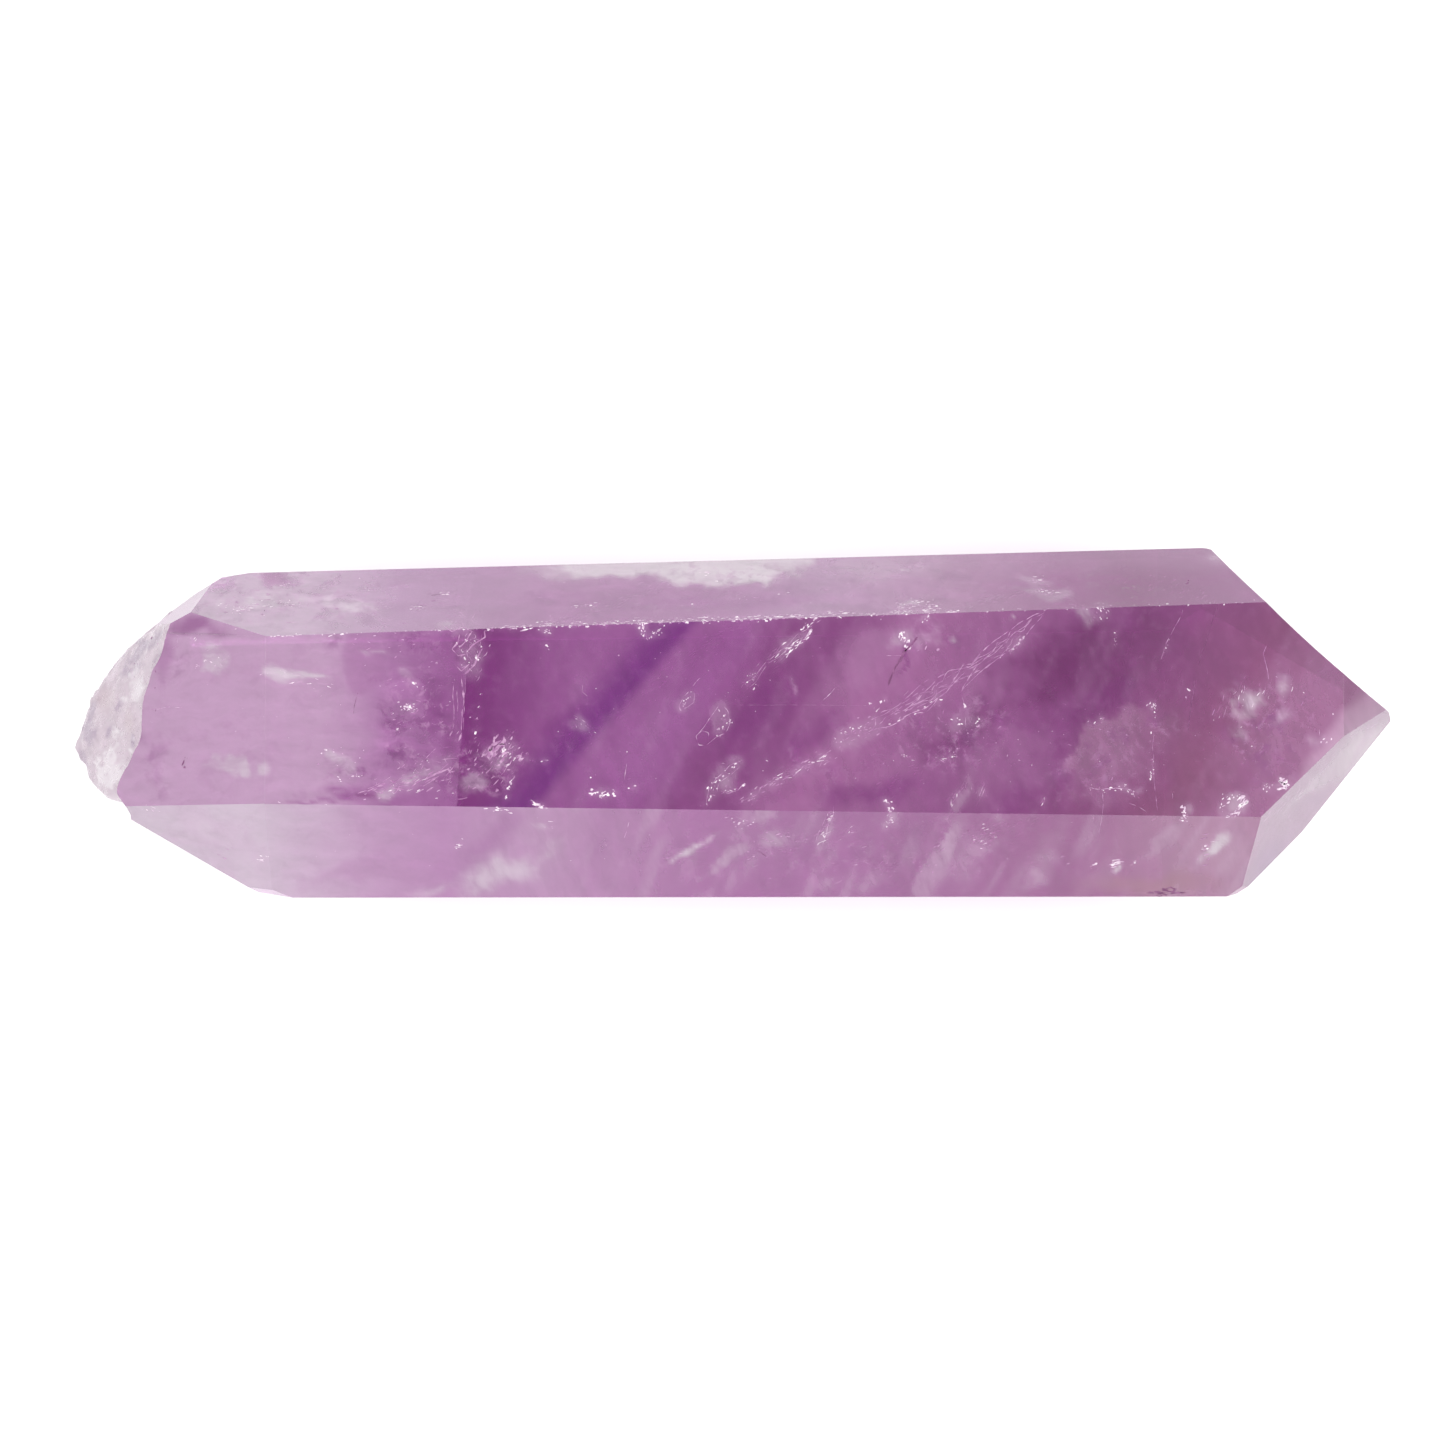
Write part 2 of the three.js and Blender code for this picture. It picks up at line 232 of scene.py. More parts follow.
# These lie in the stone in this order, the later over the earlier
PATCHES = {
    "lighter_top_of_the_middle": Patch((872, 655), (5.0, 2.4), 35, 1.0, 0.9, (0.485, 0.2, 0.435)),
    "smooth_purple_middle": Patch((650, 745), (5.4, 2.6), 43, 0.9, 0.6, (0.43, 0.14, 0.41)),
    "dark_past_the_smooth": Patch((752, 712), (4.8, 2.0), 50, 0.9, 0.85, DEEP_PURPLE),
    "dark_under_the_eggs": Patch((810, 735), (4.0, 1.3), 33, 1.0, 0.65, DEEP_PURPLE),
    "dark_far_right": Patch((1082, 662), (6.4, 3.4), 28, 0.8, 1.0, (0.2, 0.02, 0.165)),
    "dark_left_of_it": Patch((972, 726), (4.6, 1.5), 30, 1.0, 0.75, (0.25, 0.05, 0.21)),
    "dark_right_of_it": Patch((1155, 645), (4.6, 3.8), 60, 1.0, 0.75, (0.235, 0.05, 0.19)),
    "rose_above": Patch((1225, 655), (3.6, 3.4), 0, 1.0, 0.6, (0.28, 0.08, 0.22)),
    "lighter_low_middle": Patch((990, 780), (4.5, 2.0), 25, 1.0, 0.5, (0.37, 0.13, 0.32)),
    "wedge_by_the_curtain": Patch((1120, 758), (3.6, 2.6), 44, 0.8, 1.0, (0.42, 0.175, 0.355), 0.3, 135),
    "rose_past_the_wedge": Patch((1160, 735), (2.6, 2.6), 0, 1.0, 0.6, (0.36, 0.13, 0.29), 0.3),
    "dark_low_corner": Patch((868, 793), (5.4, 1.3), 5, 1.0, 0.75, DEEP_PURPLE),
    "plum_over_the_middle": Patch((705, 652), (3.2, 1.4), 45, 1.0, 0.4, (0.33, 0.07, 0.31)),
    "purple_left_of_the_block": Patch((455, 710), (1.6, 4.2), -8, 1.0, 0.75, (0.33, 0.085, 0.31), 0.7),
    "deep_under_the_turmoil": Patch((470, 775), (3.4, 1.9), 0, 1.0, 0.8, (0.3, 0.07, 0.28), 0.7),
    "purple_low_left": Patch((380, 795), (5.0, 0.8), -2, 1.0, 0.7, PURPLE, 0.4),
    "rose_low_right": Patch((1195, 782), (3.2, 2.8), 90, 1.0, 0.75, (0.31, 0.1, 0.22)),
    "rose_on_the_front_band": Patch((1165, 885), (6.0, 0.9), 0, 1.0, 0.8, (0.46, 0.2, 0.3)),
    "band_on_the_front": Patch((478, 852), (5.6, 1.0), 38, 1.0, 0.7, (0.44, 0.14, 0.42)),
    "lilac_on_the_front": Patch((360, 872), (4.2, 1.1), 8, 0.8, 0.5, (0.53, 0.24, 0.5)),
    "purple_over_the_block": Patch((500, 612), (2.6, 0.7), 5, 0.9, 0.5, (0.44, 0.15, 0.4)),
    "purple_under_the_cloud": Patch((690, 604), (7.0, 0.7), 2, 0.9, 0.55, (0.42, 0.12, 0.39)),
    "wedge_at_the_break": Patch((198, 627), (2.8, 0.85), -14, 0.7, 0.9, (0.45, 0.18, 0.42)),
    "rim_at_the_break": Patch((163, 655), (0.9, 2.4), -14, 0.8, 0.75, LILAC),
    "low_rim_at_the_break": Patch((147, 770), (1.0, 1.8), -25, 0.9, 0.6, LILAC, 0.8),
    "left_haze": Patch((345, 745), (2.4, 2.0), 0, 1.0, 0.35, PALE_LILAC),
    "dark_pocket": Patch((438, 690), (1.3, 1.9), 10, 1.0, 0.75, (0.3, 0.065, 0.285), 0.5),
    "dark_by_the_flakes": Patch((450, 745), (1.0, 1.6), -10, 0.9, 0.6, (0.3, 0.07, 0.28), 0.6),
    "dark_under_the_net": Patch((465, 772), (1.1, 1.0), 0, 0.8, 0.9, (0.24, 0.05, 0.22), 0.9),
    "purple_line_low_left": Patch((335, 789), (1.3, 0.14), -9, 0.9, 0.6, PURPLE, 0.5),
    "purple_line_under_it": Patch((342, 796), (1.2, 0.14), -6, 0.9, 0.7, PURPLE, 0.5),
    "purple_line_beside_it": Patch((374, 797), (0.8, 0.17), -4, 0.9, 0.8, PLUM, 0.5),
    "purple_line_at_the_edge": Patch((330, 802), (3.6, 0.14), 0, 0.9, 0.7, PURPLE, 0.4),
    "purple_past_the_line": Patch((362, 664), (1.25, 2.0), 0, 0.25, 0.5, (0.49, 0.21, 0.46), 0.15),
    "lighter_past_the_wave": Patch((1018, 766), (3.2, 2.4), 33, 0.8, 0.85, (0.395, 0.13, 0.35), 0.45, 122),
    "dark_over_the_wave": Patch((958, 738), (2.6, 1.1), 28, 0.7, 0.85, (0.25, 0.045, 0.215), 0.3),
    "dark_before_the_wedge": Patch((1062, 742), (1.6, 0.8), 60, 0.9, 0.6, (0.26, 0.05, 0.225), 0.4),
    "dark_left_of_the_band": Patch((566, 718), (1.7, 1.3), 40, 1.0, 0.6, (0.235, 0.01, 0.23), 0.4),
    "dark_cells_in_the_net": Patch((471, 645), (0.9, 1.5), -10, 0.5, 0.85, (0.27, 0.04, 0.25), 0.5),
    "dark_in_the_corner": Patch((1102, 700), (2.4, 1.0), 34, 0.3, 0.7, (0.23, 0.03, 0.2), 0.2),
    "rose_by_the_wedge": Patch((1095, 775), (2.2, 1.9), 35, 0.9, 0.6, (0.42, 0.155, 0.35), 0.4),
    "shade_of_the_crack": Patch((904, 655), (1.9, 0.2), 57, 0.9, 0.8, DEEP_PURPLE, 0.2),
    "shade_past_the_cloud": Patch((925, 660), (2.4, 0.9), 50, 1.0, 0.5, (0.4, 0.14, 0.34)),
    "lilac_spot": Patch((796, 684), (0.28, 0.85), 12, 0.8, 0.75, (0.56, 0.27, 0.52), 0.2),
    "dark_low_right": Patch((1250, 775), (2.8, 1.2), 40, 1.0, 0.5, (0.31, 0.08, 0.24)),
    "lighter_by_the_tip": Patch((1318, 748), (2.2, 0.8), 45, 1.0, 0.35, (0.55, 0.3, 0.49)),
    "front_stripe_dark": Patch((1068, 868), (4.6, 0.9), 60, 1.0, 0.5, (0.33, 0.07, 0.27), 0.15),
    "front_stripe_dark_left": Patch((905, 850), (4.6, 0.7), 64, 1.0, 0.45, (0.34, 0.07, 0.31), 0.15),
    "front_stripe_dark_middle": Patch((800, 862), (4.6, 1.0), 60, 1.0, 0.45, (0.38, 0.08, 0.35), 0.2),
    "front_stripe_light": Patch((1042, 862), (4.6, 0.9), 58, 1.0, 0.45, (0.53, 0.26, 0.47), 0.15),
    "front_stripe_light_right": Patch((1100, 872), (4.6, 0.7), 56, 1.0, 0.35, (0.52, 0.25, 0.45), 0.15),
    "front_stripe_purple": Patch((596, 850), (4.6, 1.1), 60, 1.0, 0.4, (0.43, 0.13, 0.4), 0.2),
    "pink_front_right": Patch((1215, 858), (3.2, 1.4), 0, 1.0, 0.7, (0.56, 0.29, 0.46)),
    "purple_on_the_back": Patch((272, 584), (0.9, 0.7), 0, 0.8, 1.0, (0.47, 0.2, 0.43), 0.7),
    "back_cloud_shade": Patch((740, 603), (8.0, 0.8), 2, 0.9, 0.5, (0.43, 0.12, 0.4)),
    "haze_left_of_the_cloud": Patch((570, 568), (4.0, 1.0), 2, 0.9, 0.45, CLOUD_WHITE, 0.2),
    "cloud_left_wing": Patch((640, 566), (5.2, 1.1), -3, 0.4, 0.9, CLOUD_WHITE, 0.16),
    "cloud_middle": Patch((712, 568), (4.6, 1.7), -1, 0.35, 0.96, CLOUD_WHITE, 0.16),
    "cloud_right_wing": Patch((768, 562), (3.4, 1.8), 12, 0.4, 0.9, CLOUD_WHITE, 0.2),
    "haze_right_of_the_cloud": Patch((880, 566), (4.6, 1.7), 6, 0.8, 0.4, (0.7, 0.52, 0.67), 0.25),
    # Painted light: a near-white glow on the front facet at the sharp end
    "painted_glow_on_the_sharp_facet": Patch((1362, 748), (3.2, 1.3), 48, 1.0, 0.8, (0.82, 0.72, 0.78), 0.05),
    "white_line_on_it": Patch((1315, 784), (3.8, 0.45), 45, 1.0, 0.5, (0.8, 0.7, 0.77), 0.05),
    "lilac_line_on_it": Patch((1316, 798), (2.2, 0.35), 43, 1.0, 0.5, (0.55, 0.38, 0.54), 0.05),
    "lilac_foot_of_it": Patch((1270, 862), (2.6, 1.8), 60, 1.0, 0.85, (0.5, 0.33, 0.515), 0.1),
}

# What shows on the break
BREAK_BLOTCHES = {
    "warm_middle": Patch((106, 700), (1.0, 1.3), 10, 0.8, 0.8, WARM_GREY, 0.2),
    "warm_by_the_rim": Patch((129, 722), (0.5, 1.4), 10, 0.8, 0.7, WARM_GREY, 0.2),
    "grey_at_the_lip": Patch((88, 733), (0.7, 0.8), 0, 0.8, 0.75, GREY_LILAC, 0.8),
    "grey_mark": Patch((108, 733), (0.22, 0.55), -15, 0.7, 0.9, GREY_LILAC, 0.5),
    "grey_mark_by_the_rim": Patch((133, 741), (0.18, 0.55), 0, 0.7, 0.9, GREY_LILAC, 0.5),
    "grey_spots": Patch((119, 705), (0.5, 0.5), 0, 0.8, 0.8, GREY_LILAC, 0.9),
    "grey_speckle": Patch((133, 662), (0.9, 1.2), 40, 0.9, 0.75, GREY_LILAC, 1.3),
    "grey_upper_speckle": Patch((152, 640), (0.7, 0.8), 40, 0.9, 0.6, GREY_LILAC, 1.3),
    "grey_rim": Patch((93, 711), (0.3, 0.6), -20, 0.8, 0.7, GREY_LILAC, 0.6),
    "grey_low_rim": Patch((84, 760), (0.3, 1.2), 30, 0.9, 0.5, GREY_LILAC, 0.6),
    "white_lumps": Patch((112, 766), (1.1, 1.7), -30, 0.7, 0.95, WHITE, 1.1),
    "white_by_the_rim": Patch((136, 684), (0.5, 1.1), 0, 0.8, 0.85, WHITE, 1.1),
    "white_spot": Patch((125, 699), (0.4, 0.3), 0, 0.8, 0.9, WHITE, 0.8),
}

# How milky the stone is
CLOUDS = {
    "left_streak": Patch((281, 674), (3.0, 1.0), -3, 1.0, 0.72, MILK, 0.45),
    "left_streak_heart": Patch((292, 675), (2.4, 0.5), -8, 1.0, 0.95, MILK, 0.35),
    "left_streak_tail": Patch((318, 681), (1.6, 0.3), -8, 1.0, 0.9, MILK, 0.3),
    "streak_above_the_block": Patch((380, 652), (1.8, 0.3), -8, 1.0, 0.6, MILK, 0.5),
    "low_left_haze": Patch((235, 764), (3.4, 0.7), 3, 1.0, 0.7, MILK, 0.8),
    "low_left_haze_right": Patch((257, 763), (1.1, 0.8), 0, 1.0, 0.75, MILK, 0.5),
    "netted_haze": Patch((213, 655), (2.2, 1.3), -20, 1.0, 0.65, MILK, 1.0),
    "bits_over_the_string": Patch((333, 752), (1.0, 0.5), -10, 1.0, 0.6, MILK, 0.8),
    "turmoil_white": Patch((410, 781), (2.8, 0.6), 28, 1.0, 0.62, MILK, 0.7),
    "turmoil_white_left": Patch((355, 762), (1.6, 0.8), -10, 1.0, 0.5, MILK, 0.9),
    "turmoil_pink": Patch((436, 770), (1.2, 0.8), 15, 1.0, 0.4, MILK, 0.7),
    "turmoil_high": Patch((400, 668), (1.6, 0.7), -20, 1.0, 0.4, MILK, 1.1),
    "pink_net": Patch((452, 622), (1.8, 0.6), 10, 1.0, 0.5, MILK, 0.8),
    "clump": Patch((503, 754), (1.2, 0.6), 48, 1.0, 0.5, MILK, 0.9),
    "under_the_clump": Patch((472, 788), (1.7, 1.0), 15, 1.0, 0.42, MILK, 0.9),
    "clump_right": Patch((520, 757), (0.7, 0.5), 20, 1.0, 0.5, MILK, 1.0),
    "clump_left": Patch((488, 768), (1.0, 0.4), 60, 1.0, 0.45, MILK, 1.0),
    "back_left_haze": Patch((290, 603), (6.0, 1.6), 0, 1.0, 0.78, MILK, 0.5),
    "back_left_heart": Patch((246, 606), (2.0, 0.6), 4, 1.0, 0.6, MILK, 0.7),
    "long_cloud_heart": Patch((704, 578), (1.8, 0.7), 2, 1.0, 1.0, MILK, 0.6),
    "cloud_past_it_spot": Patch((902, 569), (1.0, 0.5), 0, 1.0, 0.6, MILK, 0.8),
    "cloud_right_of_it": Patch((1046, 593), (2.4, 0.4), -6, 1.0, 0.42, MILK, 0.9),
    "cloud_over_that": Patch((1034, 578), (1.2, 0.4), -25, 1.0, 0.35, MILK, 0.9),
    "cloud_on_the_edge": Patch((912, 604), (2.4, 0.4), 3, 1.0, 0.55, MILK, 0.8),
    "far_right_of_it": Patch((1212, 560), (1.6, 1.2), 30, 1.0, 0.45, MILK, 0.3),
    "front_left_cloud": Patch((215, 835), (4.0, 1.5), -25, 1.0, 0.45, MILK, 0.4),
    "front_left_streak": Patch((188, 833), (1.8, 0.5), -28, 1.0, 0.6, MILK, 0.5),
    "front_left_low": Patch((228, 870), (1.0, 0.4), -30, 1.0, 0.45, MILK, 0.5),
    "front_cloud": Patch((500, 872), (5.8, 2.0), 18, 1.0, 0.66, MILK, 0.25),
    "front_cloud_high": Patch((545, 850), (2.6, 1.0), 25, 1.0, 0.5, MILK, 0.3),
    "front_cloud_left": Patch((440, 887), (2.6, 0.8), 8, 1.0, 0.5, MILK, 0.4),
    "front_wisp": Patch((544, 826), (1.2, 0.3), -4, 1.0, 0.45, MILK, 0.7),
    "front_streak": Patch((690, 851), (2.2, 0.26), 25, 1.0, 0.75, MILK, 0.5),
    "front_streak_low": Patch((726, 863), (2.8, 0.4), 22, 1.0, 0.45, MILK, 0.7),
    "front_net": Patch((776, 841), (1.5, 0.9), 20, 1.0, 0.5, MILK, 0.9),
    "front_net_upper": Patch((762, 822), (1.4, 0.5), 5, 1.0, 0.4, MILK, 0.9),
    "front_curtain_left": Patch((826, 832), (1.8, 0.5), 68, 1.0, 0.45, MILK, 0.4),
    "lens_at_the_edge": Patch((890, 816), (1.2, 0.6), 65, 1.0, 0.45, MILK, 0.6),
    "curtain_top": Patch((961, 802), (2.4, 0.5), 66, 0.9, 0.42, MILK, 0.3, 156),
    "curtain": Patch((950, 846), (6.0, 0.75), 67, 0.9, 0.42, MILK, 0.12, 157),
    "curtain_foot": Patch((936, 878), (4.6, 1.2), 64, 0.9, 0.36, MILK, 0.12, 154),
    "curtain_spread": Patch((966, 858), (3.6, 1.7), 65, 1.0, 0.3, MILK, 0.2),
    "front_patch": Patch((984, 844), (1.9, 1.2), 50, 1.0, 0.32, MILK, 1.0),
    "front_patch_right": Patch((1040, 872), (2.8, 0.9), 40, 1.0, 0.35, MILK, 0.6),
    "front_patch_left": Patch((860, 885), (3.0, 0.7), 20, 1.0, 0.35, MILK, 0.6),
    "front_bright": Patch((1116, 864), (0.9, 0.4), 38, 1.0, 0.85, MILK, 0.4),
    "front_lavender_streak": Patch((1208, 854), (1.7, 0.5), 52, 1.0, 0.9, MILK, 0.3),
    "front_lavender_left": Patch((1160, 842), (2.4, 0.5), 40, 1.0, 0.35, MILK, 0.6),
    "tip_cloud": Patch((1242, 700), (2.2, 1.4), 35, 1.0, 0.66, MILK, 0.8),
    "second_tip_cloud": Patch((1288, 688), (1.1, 1.0), 60, 1.0, 0.55, MILK, 0.7),
    "third_tip_cloud": Patch((1277, 722), (1.2, 0.6), 55, 1.0, 0.45, MILK, 0.6),
    "tip_haze": Patch((1318, 740), (1.8, 0.6), 42, 1.0, 0.45, MILK, 0.8),
    "tip_flake": Patch((1281, 783), (1.0, 0.6), 20, 1.0, 0.6, MILK, 0.8),
    "pocket_right": Patch((1234, 806), (1.4, 0.8), 40, 1.0, 0.5, MILK, 0.8),
    "low_right_curve": Patch((1122, 789), (1.4, 0.45), -15, 1.0, 0.4, MILK, 0.8),
    "low_right_flake": Patch((1185, 812), (0.5, 0.6), 0, 1.0, 0.5, MILK, 0.7),
    "cloud_by_the_crack": Patch((903, 637), (0.95, 0.85), 40, 1.0, 0.42, MILK, 1.0),
    "cloud_past_the_crack": Patch((932, 636), (1.6, 1.1), 60, 1.0, 0.32, MILK, 0.9),
    "cloud_over_the_crack": Patch((922, 618), (0.8, 0.35), 50, 1.0, 0.45, MILK, 0.6),
    "spot_past_the_crack": Patch((954, 638), (0.32, 0.4), 0, 1.0, 0.7, MILK, 0.3),
    "spot_at_the_veil": Patch((1009, 618), (0.45, 0.4), 0, 1.0, 0.7, MILK, 0.6),
    "haze_at_the_edge": Patch((1094, 613), (1.6, 0.7), 8, 1.0, 0.5, MILK, 0.9),
    "net_cluster": Patch((856, 736), (1.8, 0.6), 28, 1.0, 0.4, MILK, 0.9),
    "past_the_veil": Patch((966, 712), (1.2, 0.8), 20, 1.0, 0.22, MILK, 1.0),
    "wave_haze": Patch((988, 742), (1.8, 0.5), 45, 1.0, 0.3, MILK, 0.6),
    "white_crack": Patch((796, 644), (2.4, 0.45), 41, 1.0, 0.36, MILK, 0.6),
    "bright_low": Patch((604, 795), (0.9, 0.4), 0, 1.0, 0.55, MILK, 0.6),
    "band_wisps": Patch((578, 722), (1.3, 0.6), -20, 1.0, 0.35, MILK, 1.1),
    "egg": Patch((721, 718), (0.5, 0.95), -15, 0.6, 0.3, MILK, 0.4),
    "left_egg": Patch((686, 701), (0.38, 0.6), -30, 0.6, 0.3, MILK, 0.4),
    "low_pocket": Patch((725, 775), (0.55, 1.3), -38, 0.7, 0.4, MILK, 0.6),
}

# Where the stone is full of small flaws, which show as pale and dark blotches
UNREST = {
    "left_of_the_block": Patch((412, 715), (3.1, 5.6), 0, 0.7, 1.0, MILK, 0.3),
    "under_the_block": Patch((478, 775), (3.4, 2.2), 0, 0.8, 1.0, MILK, 0.4),
    "low_left": Patch((360, 770), (3.4, 2.2), 0, 0.9, 0.9, MILK, 0.4),
    "upper_left": Patch((400, 640), (5.0, 1.6), 0, 0.9, 0.7, MILK, 0.4),
    "at_the_break": Patch((172, 660), (3.4, 3.0), 0, 1.0, 0.5, MILK, 0.4),
    "low_at_the_break": Patch((150, 775), (1.6, 2.2), 0, 1.0, 0.6, MILK, 0.4),
    "back_left": Patch((290, 600), (9.0, 4.0), 0, 0.8, 0.8, MILK, 0.4),
    "back": Patch((800, 590), (24.0, 4.0), 1, 0.5, 0.45, MILK, 0.3),
    "back_over_the_block": Patch((450, 605), (3.0, 1.0), 0, 1.0, 0.6, MILK, 0.4),
    "past_the_veil": Patch((960, 735), (5.0, 2.8), 30, 0.9, 0.8, MILK, 0.4),
    "low_middle": Patch((820, 770), (7.0, 2.4), 0, 1.0, 0.45, MILK, 0.4),
    "cloud": Patch((925, 636), (3.0, 1.8), 0, 0.9, 0.6, MILK, 0.4),
    "right": Patch((1110, 760), (6.0, 3.2), 20, 0.9, 0.6, MILK, 0.4),
    "tip": Patch((1262, 725), (4.4, 4.0), 30, 0.9, 0.7, MILK, 0.4),
    "front": Patch((860, 855), (18.0, 3.0), 0, 0.9, 0.4, MILK, 0.4),
}


class Zone(NamedTuple):
    """A growth zone that ends on a line. start and end are on the line in the photograph, and the zone
    is on the left when walking from start to end. fades and ends are in millimetres."""
    start: tuple
    end: tuple
    fades: float
    ends: float
    strength: float
    colour: tuple


ZONES = {
    "dark_block": Zone((468, 640), (461, 735), 7.6, 0.1, 0.92, (0.22, 0.006, 0.2)),
    "violet_band": Zone((560, 790), (690, 640), 3.4, 0.9, 0.92, VIOLET),
}


class Flakes(NamedTuple):
    """Small broken flakes, strewn along a line in the photograph. spread is how far they stray from it,
    size is the middling length, width and thickness, and deep is how far down they lie, all in
    millimetres. heading is their direction in degrees, or None for that of the line."""
    along: tuple
    count: int
    spread: float
    size: tuple
    heading: float = None
    deep: float = 0.05


class Thread(NamedTuple):
    """A thin line in the stone, such as the trace of a healed crack. wander is how far it strays, and
    beaded is how much it swells here and there."""
    along: tuple
    radius: float
    wander: float = 0.05
    deep: float = 0.0
    beaded: float = 1.5


class Curls(NamedTuple):
    """Short curled lines that lie over each other in an oval, as in a crackled pocket."""
    at: tuple
    reach: tuple
    turn: float
    count: int
    length: float = 0.5
    radius: float = 0.022


CHIP = (0.16, 0.095, 0.06)
EDGE_CHIP = (0.25, 0.12, 0.08)
DOT = (0.1, 0.08, 0.06)
SPARK = (0.07, 0.055, 0.04)
FLAKE = (0.22, 0.13, 0.08)
SLIVER = (0.34, 0.06, 0.05)
FIBRE = (0.5, 0.045, 0.04)

